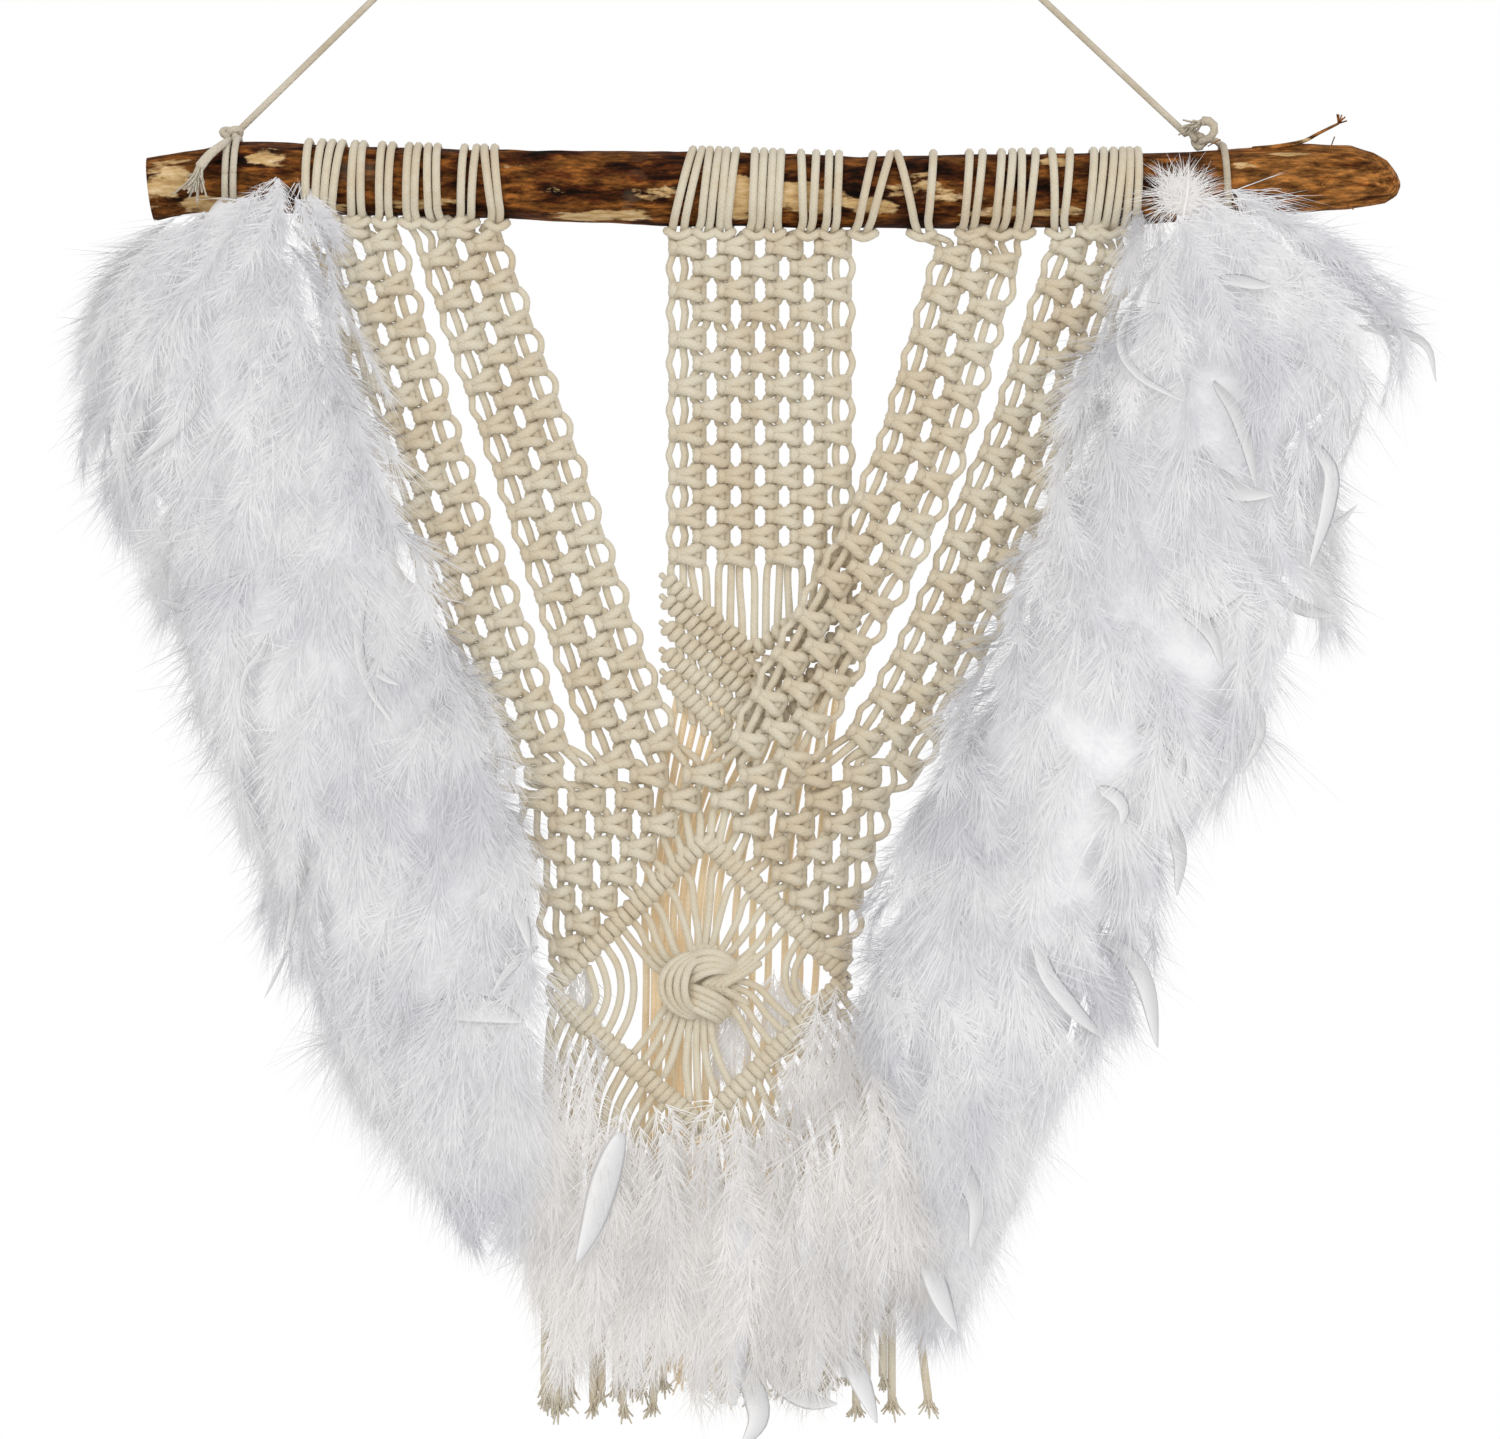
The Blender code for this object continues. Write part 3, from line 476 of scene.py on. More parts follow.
def braid_group() -> None:
    """Braided cord: two sets of strands that slant round it in turn, as a height and a mask of painted shade
    in the grooves.

    Each set is a sine of strands * u plus or minus pitch * v, and the higher of the two shows.
    """
    sheet = effect_group("braid", "Pattern", {"Strands": 5.0, "Pitch": 1.6}, ("Height", "Groove Shade"))
    entry = sheet.tree.nodes["Group Input"].outputs
    split = sheet.node("ShaderNodeSeparateXYZ", inputs={"Vector": entry["Pattern"]}).outputs
    round_it = sheet.math("MULTIPLY", split["X"], entry["Strands"])
    along = sheet.math("MULTIPLY", split["Y"], entry["Pitch"])
    waves = [sheet.math("SINE", sheet.math("MULTIPLY", sheet.math(slant, round_it, along), 2 * np.pi))
             for slant in ("ADD", "SUBTRACT")]
    height = sheet.math("MAXIMUM", *waves)
    # painted shade: one where the braid is low, nothing on its crowns
    groove_shade = sheet.remap(height, -0.4, 0.6, 1.0, 0.0)
    sheet.fill(sheet.tree.nodes["Group Output"], {"Height": height, "Groove Shade": groove_shade})


def drift_group() -> None:
    """Slow change of tone over a piece, from two scales of noise on its own place."""
    sheet = effect_group("tone_drift", "Place", {"Scale": 20.0}, ("Mask",))
    entry = sheet.tree.nodes["Group Input"].outputs
    coarse = sheet.noise(entry["Place"], entry["Scale"], 2.0, 0.5)
    fine = sheet.noise(entry["Place"], sheet.math("MULTIPLY", entry["Scale"], 9.0), 2.0, 0.5)
    mixed = sheet.math("ADD", sheet.math("MULTIPLY", coarse, 0.65), sheet.math("MULTIPLY", fine, 0.35))
    sheet.fill(sheet.tree.nodes["Group Output"], {"Mask": mixed})


@dataclass(frozen=True)
class Finish:
    """What every finish has: a name, and a Principled shader to fill."""

    name: str

    def start(self) -> tuple[Material, NodeSheet, Node]:
        """Begin the material.

        Returns:
            The new material, a sheet over its nodes, and its shader.
        """
        material = bpy.data.materials.new(self.name)
        material.use_nodes = True
        return material, NodeSheet(material.node_tree), material.node_tree.nodes["Principled BSDF"]


@dataclass(frozen=True)
class CottonFinish(Finish):
    """Soft braided cotton cord, its colour drifting a little from place to place."""

    light: Color
    # deep is the darker tone of the drift, and also the colour of the painted shade in the grooves
    deep: Color
    strands: float = 5.0
    pitch: float = 1.6
    relief: float = 0.35
    painted_glow: float = 0.0       # painted glow: emission that lifts the cords' shade, in place of light through the cotton
    drift: float = 26.0     # patches of tone in one metre
    groove_shade: float = 0.30    # how far the painted shade darkens the grooves
    height: float = 0.0004

    def make(self) -> Material:
        """Build the material.

        Returns:
            The cotton material.
        """
        material, sheet, shader = self.start()
        braid = sheet.effect("braid", Pattern=sheet.coordinates("UV"), Strands=self.strands, Pitch=self.pitch)
        drift = sheet.effect("tone_drift", Place=sheet.coordinates("Object"), Scale=self.drift)
        tone = sheet.ramp(drift["Mask"], (0.36, self.deep), (0.58, self.light))
        # painted shade: the grooves are mixed towards the deep colour
        groove_shade_amount = sheet.math("MULTIPLY", braid["Groove Shade"], self.groove_shade)
        sheet.fill(shader, {
            "Base Color": sheet.mix(groove_shade_amount, tone, self.deep),
            "Normal": sheet.bump(braid["Height"], self.relief, self.height),
            "Roughness": 0.9, "Specular IOR Level": 0.2, "Sheen Weight": 0.25, "Sheen Roughness": 0.6,
            "Emission Color": tone, "Emission Strength": self.painted_glow})
        return material


@dataclass(frozen=True)
class BarkFinish(Finish):
    """Thin brown bark with darker cracks, worn through to pale wood in patches."""

    dark: Color = (0.006, 0.0022, 0.0008)
    brown: Color = (0.050, 0.013, 0.003)
    warm: Color = (0.185, 0.068, 0.014)
    golden: Color = (0.30, 0.125, 0.032)
    bare_deep: Color = (0.34, 0.19, 0.085)
    pale: Color = (0.56, 0.37, 0.16)
    bare_light: Color = (0.78, 0.60, 0.37)
    grey: Color = (0.20, 0.16, 0.11)

    def make(self) -> Material:
        """Build the material.

        The bark has flakes, the stripped part has long streaks, fine grain lines darken and
        lighten both, worn patches show the bare wood, and a few spots are grey.

        Returns:
            The bark material.
        """
        material, sheet, shader = self.start()
        place = sheet.coordinates("Object")
        grain = sheet.noise(sheet.along_branch(place, 0.25), 330.0, 7.0, 0.68)
        flakes = sheet.noise(sheet.along_branch(place, 0.33), 95.0, 7.0, 0.66)
        streaks = sheet.noise(sheet.along_branch(place, 0.09), 210.0, 5.0, 0.6)
        bark = sheet.ramp(flakes, (0.36, self.dark), (0.46, self.brown), (0.58, self.warm),
                          (0.66, self.brown))
        stripped = sheet.ramp(streaks, (0.34, self.brown), (0.43, self.warm), (0.54, self.golden),
                              (0.68, self.warm))
        lines = sheet.ramp(grain, (0.36, (0.16, 0.14, 0.12)), (0.50, (0.95, 0.95, 0.95)),
                           (0.66, (2.6, 2.5, 2.3)))
        lined = sheet.mix(0.85, sheet.mix(sheet.marked("stripped"), bark, stripped), lines, "MULTIPLY")
        edge = sheet.noise(sheet.along_branch(place, 0.35), 120.0, 5.0, 0.6)
        ragged = sheet.math("MULTIPLY", sheet.math("SUBTRACT", edge, 0.5), 1.5)
        worn = sheet.remap(sheet.math("ADD", sheet.marked("worn"), ragged), 0.47, 0.58)
        bare = sheet.ramp(grain, (0.32, self.bare_deep), (0.48, self.pale), (0.68, self.bare_light))
        lichen = sheet.noise(sheet.along_branch(place, 0.5), 34.0, 3.0, 0.55)
        spots = sheet.remap(lichen, 0.66, 0.74, 0.0, 0.35)
        sheet.fill(shader, {
            "Base Color": sheet.mix(spots, sheet.mix(worn, lined, bare), self.grey),
            "Normal": sheet.bump(flakes, 0.6, 0.0015, Normal=sheet.bump(grain, 0.7, 0.0012)),
            "Roughness": 0.66, "Specular IOR Level": 0.06})
        return material


@dataclass(frozen=True)
class DownFinish(Finish):
    """White feather, its tone drifting between a cooler and a lighter white, with a painted glow."""

    light: Color = (0.69, 0.685, 0.685)
    cool: Color = (0.57, 0.57, 0.59)
    drift: float = 21.0     # patches of tone in one metre
    painted_glow: float = 0.27      # painted glow: emission that lifts the shade between the barbs

    def make(self) -> Material:
        """Build the material.

        Returns:
            The feather material.
        """
        material, sheet, shader = self.start()
        drift = sheet.effect("tone_drift", Place=sheet.coordinates("Object"), Scale=self.drift)
        tone = sheet.ramp(drift["Mask"], (0.38, self.cool), (0.60, self.light))
        sheet.fill(shader, {
            "Base Color": tone, "Roughness": 0.85, "Specular IOR Level": 0.15, "Sheen Weight": 0.1,
            "Emission Color": tone, "Emission Strength": self.painted_glow})
        return material


@dataclass(frozen=True)
class VaneFinish(Finish):
    """Smooth stiff feather with painted shade from one edge to the other, and fine slanted barbs."""

    # painted light: light is the vane's lit edge, deep its edge in painted shade
    light: Color = (0.71, 0.705, 0.70)
    deep: Color = (0.50, 0.50, 0.51)
    # painted glow: emission that lifts the vane's shade
    painted_glow: float = 0.16
    barbs: float = 34.0     # slanted barbs along a vane
    slant: float = 16.0     # how far they run on from the shaft to the edge

    def make(self) -> Material:
        """Build the material.

        Returns:
            The vane material.
        """
        material, sheet, shader = self.start()
        split = sheet.node("ShaderNodeSeparateXYZ", inputs={"Vector": sheet.coordinates("UV")}).outputs
        edge = sheet.math("ABSOLUTE", sheet.math("SUBTRACT", split["X"], 0.5))
        along = sheet.math("MULTIPLY", split["Y"], self.barbs)
        slanted = sheet.math("ADD", along, sheet.math("MULTIPLY", edge, self.slant))
        wave = sheet.math("SINE", sheet.math("MULTIPLY", slanted, 2 * np.pi))
        place = sheet.math("ADD", edge, sheet.math("MULTIPLY", wave, 0.03))
        # painted shade: the edge round u = 0.5 darkens to the deep colour, as if turned from the light
        tone = sheet.ramp(place, (0.06, self.deep), (0.40, self.light))
        sheet.fill(shader, {
            "Base Color": tone, "Roughness": 0.6, "Specular IOR Level": 0.2,
            "Emission Color": tone, "Emission Strength": self.painted_glow})
        return material


@dataclass(frozen=True)
class PlainFinish(Finish):
    """The floor's plain matt finish."""

    color: Color = (0.85, 0.85, 0.84)

    def make(self) -> Material:
        """Build the material.

        Returns:
            The floor's material.
        """
        material, sheet, shader = self.start()
        sheet.fill(shader, {"Base Color": self.color, "Roughness": 0.8})
        return material


# ------------------------------------------------------------------ branch
@dataclass(frozen=True)
class Patch:
    """A place where the bark is worn through: chart place, half sizes, strength."""

    across: float
    down: float
    half_length: float
    half_height: float
    strength: float = 1.0


@dataclass
class Branch:
    """The driftwood branch: edges read off the chart, knobbly, with slanted and rounded ends."""

    across: tuple[float, ...] = (151, 158, 178, 205, 237, 300, 400, 470, 500, 600, 690, 700, 860, 900,
                                 1100, 1190, 1240, 1300, 1350, 1372, 1386, 1396, 1400)
    top: tuple[float, ...] = (158, 157, 154, 150, 142, 144, 148, 150, 150, 151, 152, 152, 157, 156,
                              153, 152, 148, 145, 147, 154, 162, 173, 182)
    bottom: tuple[float, ...] = (221, 220, 217, 212, 213, 213, 215.5, 217, 218, 222, 226, 226, 228, 228,
                                 226, 221, 217, 213, 209, 206, 203, 197, 188)
    rows: int = 360
    columns: int = 40
    patches: tuple[Patch, ...] = (
        Patch(165, 190, 34, 26, 0.75), Patch(210, 205, 40, 10, 0.7), Patch(275, 160, 30, 14, 0.62),
        Patch(330, 208, 40, 6, 0.6), Patch(420, 206, 60, 7, 0.55), Patch(520, 168, 40, 5, 0.5),
        Patch(560, 196, 60, 5, 0.46), Patch(600, 217, 70, 6, 0.72), Patch(668, 196, 30, 10, 0.72),
        Patch(737, 198, 24, 18, 1.0), Patch(800, 200, 40, 13, 1.0), Patch(860, 208, 40, 8, 0.7),
        Patch(915, 190, 40, 14, 0.68), Patch(960, 200, 60, 8, 0.62), Patch(1010, 216, 60, 5, 0.75),
        Patch(1060, 165, 40, 8, 0.6), Patch(1100, 180, 40, 8, 0.55), Patch(1240, 170, 44, 5, 0.46),
        Patch(1300, 176, 60, 4, 0.36), Patch(1283, 157, 20, 3, 0.7),
    )
    # Old knots in the wood: place across, angle round the branch, and height.
    old_knots: tuple[tuple[float, float, float], ...] = (
        (505, 5.0, 3.0), (640, 4.3, 2.4), (1030, 5.1, 2.6), (1300, 4.9, 2.0), (830, 5.6, 2.0))
    stripped_from: tuple[float, float] = (1185.0, 1245.0)
    twig: Course = ((1252, 150, -3), (1276, 148, -6), (1303, 142, -5), (1318, 134, -3), (1338, 124, -2))
    # Slivers of bark that stand off: places across and down, length, and slope as an angle.
    slivers: tuple[tuple[float, float, float, float], ...] = (
        (1262, 219, 16, 0.3), (1322, 163, 24, -1.2), (1330, 175, 20, 2.3), (1205, 150, 14, -0.5),
        (1338, 205, 14, 0.6), (1312, 214, 16, -0.2))

    def axis(self, across: Array) -> tuple[Array, Array]:
        """The middle of the branch.

        Args:
            across: Places across.

        Returns:
            Places down of its axis, and its radius in chart units.
        """
        top = np.interp(across, self.across, self.top)
        bottom = np.interp(across, self.across, self.bottom)
        return (top + bottom) / 2, (bottom - top) / 2

    def relief(self, across: Array, angle: Array, draw: Draw) -> Array:
        """Height of the bark over the branch's radius.

        It is a sum of products of a wave along the branch and one round it, and each old knot
        adds a bell-shaped swelling with a narrow hollow.

        Args:
            across: Places across.
            angle: Angles round the branch.
            draw: Seeded random numbers.

        Returns:
            Heights (rows, columns) in chart units.
        """
        high = np.zeros((len(across), len(angle)))
        for wave in range(26):
            along = draw.uniform(0.004, 0.05) * (1 + wave / 9)
            turns = draw.integers(1, 9)
            size = 0.85 / (1 + wave * 0.22)
            phase = draw.uniform(0, 2 * np.pi, 2)
            high += size * np.sin(across[:, None] * along + phase[0]) * np.sin(angle[None] * turns + phase[1])
        for place, turn, height in self.old_knots:
            around = np.angle(np.exp(1j * (angle[None] - turn))) / 0.35
            away = ((across[:, None] - place) / 13) ** 2 + around ** 2
            high += height * (np.exp(-away) - 0.9 * np.exp(-away * 5))
        return high

    def skin(self, draw: Draw) -> tuple[Array, Array]:
        """Points of the bark, each its axis plus a radius with relief, and how worn they are.

        A patch wears by a bell over its length and height, and less at the back.

        Args:
            draw: Seeded random numbers.

        Returns:
            Points (rows, columns, 3) and how far each is worn (rows, columns).
        """
        across = np.linspace(self.across[0], self.across[-1], self.rows)
        middle, radius = self.axis(across)
        angle = 2 * np.pi * np.arange(self.columns)[::-1] / self.columns
        relief = self.relief(across, angle, draw)
        from_end = np.minimum(across - self.across[0], self.across[-1] - across)
        blunt = np.clip(from_end / 12.0, 0.15, 1.0)
        wide = radius[:, None] + np.clip(relief * 0.85, -2.6, 2.4) * blunt[:, None]
        depth = wide * np.sin(angle)[None] * UNIT / MM
        down = middle[:, None] - wide * np.cos(angle)[None]
        lean = np.interp(across, (151, 178), (1.0, 0.0))[:, None] * (down - middle[:, None]) * 0.11
        worn = np.zeros_like(wide)
        front = np.where(depth < 0, 1.0, 0.6)
        for patch in self.patches:
            far = ((across[:, None] - patch.across) / patch.half_length) ** 2
            far = far + ((down - patch.down) / patch.half_height) ** 2
            worn = np.maximum(worn, patch.strength * np.exp(-far * 0.7) * front)
        return chart(across[:, None] + lean, down, depth), worn

    def build(self, finish: Material) -> None:
        """Make the branch with its twig and slivers of bark.

        Args:
            finish: The bark.
        """
        draw = np.random.default_rng(11)
        surface = Surface()
        points, worn = self.skin(draw)
        surface.grid(points)
        skin_points = surface.count
        stem = smooth(on_chart(self.twig), 0.0012)
        surface.sweep(stem, np.linspace(0.0014, 0.0006, len(stem)), 6)
        tip = stem[-1]
        for _ in range(6):
            way = unit(np.array([0.5, 0.0, 0.8]) + draw.normal(0, 0.6, 3))
            surface.sweep(smooth([tip, tip + way * 0.0022, tip + way * 0.0045]), 0.0004, 5)
        for across, down, length, slope in self.slivers:
            start = chart(across, down, -15.0)
            way = np.array([np.cos(slope), -0.12, -np.sin(slope)]) * length * UNIT
            surface.sweep(smooth([start, start + way * 0.5 + TOWARDS_VIEWER * MM, start + way]), 0.0003, 5)
        piece = surface.build("driftwood_branch", finish)
        values = np.zeros(surface.count)
        values[:worn.size] = worn.ravel()
        values[skin_points:] = 0.3
        mark(piece, "worn", values)
        places = np.concatenate(surface.points)[:, 0] / UNIT + ACROSS_ZERO
        mark(piece, "stripped", np.interp(places, self.stripped_from, (0.0, 0.9)))
        hand_over(piece, "bark", "branch")


# ------------------------------------------------------------------ square knots
class Role(Enum):
    """The part that a cord plays in a square knot, counted from the left."""

    LEFT_WORKER = 0
    LEFT_CORE = 1
    RIGHT_CORE = 2
    RIGHT_WORKER = 3


# Each cord's way through the upper half of a knot: to the right, up and to the front, in cord
# thicknesses, and its share of full thickness.  The lower half mirrors it.
HALF_COURSES: dict[Role, tuple[tuple[float, float, float, float], ...]] = {
    Role.LEFT_WORKER: (
        (-1.95, 1.36, -0.25, 0.84), (-1.72, 0.86, -0.30, 0.86), (-1.38, 0.40, 0.36, 0.94),
        (-0.62, 0.36, 1.08, 1.08), (0.30, 0.58, 1.22, 1.18), (1.02, 0.86, 1.00, 1.12),
        (1.60, 0.98, 0.35, 0.98), (1.82, 0.60, -0.30, 0.92), (1.78, 0.0, -0.45, 0.95)),
    Role.LEFT_CORE: ((-0.50, 1.36, -0.1, 0.88), (-0.45, 0.0, 0.0, 1.0)),
    Role.RIGHT_CORE: ((0.50, 1.36, -0.1, 0.88), (1.02, 0.0, 0.30, 1.18)),
    Role.RIGHT_WORKER: (
        (2.05, 1.42, -0.10, 0.84), (1.60, 1.00, -0.60, 0.88), (0.80, 0.66, -1.00, 0.9),
        (-0.10, 0.58, -1.15, 0.9), (-1.10, 0.60, -0.90, 0.9), (-1.72, 0.56, -0.10, 0.94),
        (-1.78, 0.32, 0.80, 1.0), (-1.62, 0.0, 1.18, 1.08)),
}
FLOAT_THICKNESS = 0.78      # share of full thickness of a cord that floats past a knot
LEG_THICKNESS = 0.91        # and of one on the branch


@dataclass(frozen=True)
class SquareKnot:
    """A left-facing square knot of four cords round its middle."""

    centre: Array
    right: Array
    up: Array
    size: float = CORD

    def course(self, role: Role, spread: float = 1.0) -> Array:
        """World points of one cord's way through the knot, each with the cord's thickness there.

        Args:
            role: The cord's part in the knot.
            spread: Stretch of the knot sideways.

        Returns:
            The points from above to below.
        """
        half = np.array(HALF_COURSES[role])
        whole = np.vstack((half, (half * [1.0, -1.0, 1.0, 1.0])[-2::-1]))
        across, high, front = whole[:, :3].T * self.size
        points = (self.centre + across[:, None] * spread * self.right + high[:, None] * self.up
                  + front[:, None] * TOWARDS_VIEWER)
        return np.hstack((points, whole[:, 3:]))


@dataclass
class Thread:
    """One cord that is led through knots and free places in turn."""

    parts: list[Array] = field(default_factory=list)
    knotted: list[bool] = field(default_factory=list)

    def free(self, points: Array, thickness: float = FLOAT_THICKNESS) -> None:
        """Lead the cord past free places.

        Args:
            points: One place or several.
            thickness: The cord's share of its full thickness there.
        """
        points = np.atleast_2d(points)
        self.parts.append(np.hstack((points, np.full((len(points), 1), thickness))))
        self.knotted.append(False)

    def knot(self, course: Array) -> None:
        """Lead the cord through a knot."""
        self.parts.append(course)
        self.knotted.append(True)

    def control_points(self) -> Array:
        """The whole course, with one shared point between two knots that follow closely.

        Where a cord bows out between two knots, it leaves the first one and enters the second
        at their sides.

        Returns:
            Control points from the top down.
        """
        points = list(self.parts[0])
        pairs = zip(self.parts, self.parts[1:], self.knotted, self.knotted[1:])
        for before, part, was_knot, is_knot in pairs:
            if was_knot and is_knot and np.linalg.norm((before[-1] - part[0])[:3]) < 1.4 * CORD:
                points[-1] = (before[-1] + part[0]) / 2
                points.extend(part[1:])
            elif was_knot and len(part) > 1:
                points[-1:] = part
            elif is_knot and len(before) > 1:
                points.extend(part[1:])
            else:
                points.extend(part)
        return np.array(points)


# ------------------------------------------------------------------ lark's heads and straps
@dataclass(frozen=True)
class HeadRow:
    """Lark's heads side by side: places across of their legs at the branch's top and bottom."""

    tops: tuple[float, ...]
    bottoms: tuple[float, ...]

    def leg_ends(self) -> Array:
        """Where the cords leave the heads, just below the branch.

        Returns:
            World points, from the left.
        """
        bottoms = np.array(self.bottoms)
        middle, radius = BRANCH.axis(bottoms)
        return chart(bottoms, middle + radius + 7.0, -6.5)

    def loops(self) -> list[Array]:
        """Course of each folded cord over the branch, from the end of its left leg to its right.

        A leg rises on the branch's front, goes over the top and down the back; the fold comes
        forward from below and crosses before both legs.

        Returns:
            One list of control points for each head.
        """
        loops = []
        for i in range(0, len(self.tops), 2):
            courses = []
            for side, leg in ((-1, i), (1, i + 1)):
                top, low = self.tops[leg], self.bottoms[leg]
                middle, radius = BRANCH.axis(np.array((low + top) / 2))
                middle, reach = float(middle), float(radius) * UNIT + CORD * 0.56
                turns = np.radians((-52, -32, -8, 18, 45, 72, 95, 120, 155, 190, 225, 255))
                share = np.clip((np.sin(turns) + 0.95) / 1.9, 0, 1)
                away = np.where(turns > np.pi / 2, side * 2.6 * (turns - np.pi / 2) / 2.4, 0.0)
                across = low + (top - low) * share + away
                ring = chart(across, middle, 0.0)
                ring[:, 1] = -np.cos(turns) * reach
                ring[:, 2] += np.sin(turns) * (reach - CORD * 0.28 * np.maximum(np.sin(turns), 0.0))
                fold = np.tile(chart(low + side * 5.4, middle, 0.0), (2, 1))
                for k, (turn, more) in enumerate(((276.0, 0.0006), (294.0, 0.0034))):
                    fold[k, 1] = -np.cos(np.radians(turn)) * (reach + more)
                    fold[k, 2] += np.sin(np.radians(turn)) * (reach + more)
                fold[0, 0] -= side * UNIT
                courses.append(np.vstack((ring, fold)))
            middle_point = (courses[0][-1] + courses[1][-1]) / 2 + [0.0, -0.0008, -0.0024]
            loop = np.vstack((courses[0], middle_point, courses[1][::-1]))
            loops.append(np.hstack((loop, np.full((len(loop), 1), LEG_THICKNESS))))
        return loops


def folded(left: Array, loop: Array, right: Array) -> Array:
    """Course of a folded cord: up its left leg, over the branch and down its right leg.

    Args:
        left: The left leg, downwards.
        loop: Control points of its way over the branch.
        right: The right leg, downwards.

    Returns:
        The whole course.
    """
    over = smooth(np.vstack((left[1], loop, right[1])), LOOP_STEP)
    return np.vstack((left[:0:-1], over[1:-1], right[1:]))


@dataclass(frozen=True)
class CentreLine:
    """Middle line of a strap: chart down, across and depth at its stations."""

    down: tuple[float, ...]
    across: tuple[float, ...]
    depth: tuple[float, ...]
    reach: float = 16.0         # chart units over which its direction is taken, each way

    def at(self, down: Array) -> tuple[Array, Array]:
        """The line at some places.

        Args:
            down: The places down.

        Returns:
            World points on the line, and its direction downwards.
        """
        here = chart(np.interp(down, self.down, self.across), down, np.interp(down, self.down, self.depth))
        ahead, behind = (chart(np.interp(place, self.down, self.across), place)
                         for place in (down + self.reach, down - self.reach))
        return here, unit(ahead - behind)

    def rows(self, first: float, last: float, pitch: float, odd: bool) -> Array:
        """Places down of the rows of knots, evenly spaced along the line.

        Args:
            first: Place down of the first row.
            last: Place down of the last row.
            pitch: Wanted spacing along the line, in metres.
            odd: Whether the count of rows is odd.

        Returns:
            The places down.
        """
        fine = np.linspace(first, last, 400)
        length = run(chart(np.interp(fine, self.down, self.across), fine))
        count = int(round(length[-1] / pitch))
        if (count + 1) % 2 != int(odd):
            count += 1
        return np.interp(np.linspace(0, length[-1], count + 1), length, fine)


ROW_PITCH = 0.01085         # spacing of the rows of a strap, measured along it
KNOT_REACH = 11.4 * MM      # from the strap's middle to the knots of a two-knot row
BOW_LEFT = 20.2 * MM        # free cords beside a lone knot
BOW_RIGHT = 21.6 * MM
BOW_INNER = 13.2 * MM
NET_TOP = 765.0             # place down where the straps run into the net
NET_ROW = 24.5
CORNER_TOP = (706.0, 838.0)         # the diamond's corners on its bars' middle lines
CORNER_LEFT = (554.0, 984.0)
CORNER_RIGHT = (843.0, 972.0)
CORNER_LEFT_LOW = (554.0, 996.0)
CORNER_RIGHT_LOW = (843.0, 982.0)
CORNER_BOTTOM = (701.0, 1126.0)
BRANCH = Branch()


@dataclass(frozen=True)
class Strap:
    """A strap of eight cords in rows of two knots and of one."""

    node: str
    heads: HeadRow
    line: CentreLine
    first_row: float
    first_is_pair: bool

    def threads(self) -> list[Thread]:
        """The eight cords from the heads down to the net.

        Returns:
            One thread for each cord, from the left.
        """
        threads = [Thread() for _ in range(8)]
        for thread, end in zip(threads, self.heads.leg_ends()):
            thread.free(end, LEG_THICKNESS)
        rows = self.line.rows(self.first_row, NET_TOP - 14.0, ROW_PITCH, self.first_is_pair)
        places, ways = self.line.at(rows)
        for number, (place, way) in enumerate(zip(places, ways)):
            up = -way
            right = unit(np.cross(up, TOWARDS_VIEWER))
            pair = (number % 2 == 0) == self.first_is_pair
            for strand, thread in enumerate(threads):
                if pair:
                    offset = KNOT_REACH if strand > 3 else -KNOT_REACH
                    knot = SquareKnot(place + right * offset, right, up)
                    thread.knot(knot.course(Role(strand % 4)))
                elif 2 <= strand <= 5:
                    thread.knot(SquareKnot(place, right, up).course(Role(strand - 2)))
                else:
                    bow = {0: -BOW_LEFT, 1: -BOW_INNER, 6: BOW_INNER, 7: BOW_RIGHT}[strand]
                    if number == 0:
                        thread.free(place + right * bow * 0.92 - up * 0.002)
                    elif strand in (1, 6):
                        thread.free(place + right * bow, 0.88)
                    else:
                        arch = ((0.93, 0.0045), (1.0, 0.0), (0.93, -0.0045))
                        thread.free(np.stack([place + right * bow * size + up * high for size, high in arch]))
        return threads


STRAPS = (
    Strap("strap_outer_left",
          HeadRow((310, 323, 333, 343, 356, 364, 383, 393), (308, 317, 325, 333, 353, 363, 381, 390)),
          CentreLine((226, 250, 358, 454, 770), (349, 360, 390, 420, 533), (NET_DEPTH,) * 5), 231.0, False),
    Strap("strap_inner_left",
          HeadRow((410, 419, 429, 438, 465, 477, 485, 495), (408, 416, 430, 439, 462, 472, 494, 502)),
          CentreLine((226, 250, 461, 666, 789), (455, 462, 535, 603, 652), (NET_DEPTH,) * 5), 230.0, False),
    Strap("strap_inner_right",
          HeadRow((897, 933, 969, 982, 1001, 1012, 1021, 1035), (915, 927, 963, 973, 994, 1004, 1018, 1026)),
          CentreLine((226, 259, 456, 524, 562, 602, 680, 740, 785),
                     (975, 976, 918, 889, 872, 848, 805, 775, 757),
                     (-4, -4, -12, -14, -14, -14, -14, -14, -14)), 239.0, False),
    Strap("strap_outer_right",
          HeadRow((1051, 1069, 1093, 1103, 1113, 1122, 1129, 1137),
                  (1053, 1062, 1086, 1094, 1104, 1113, 1124, 1134)),
          CentreLine((226, 251, 436, 517, 587, 657, 711, 776),
                     (1094, 1092, 1031, 996, 970, 938, 909, 868), (NET_DEPTH,) * 8), 232.0, False),
)


def bar_line(start: tuple[float, float], end: tuple[float, float], share: float) -> Array:
    """World point at a share of the way along a bar."""
    return chart(start[0] + (end[0] - start[0]) * share, start[1] + (end[1] - start[1]) * share)


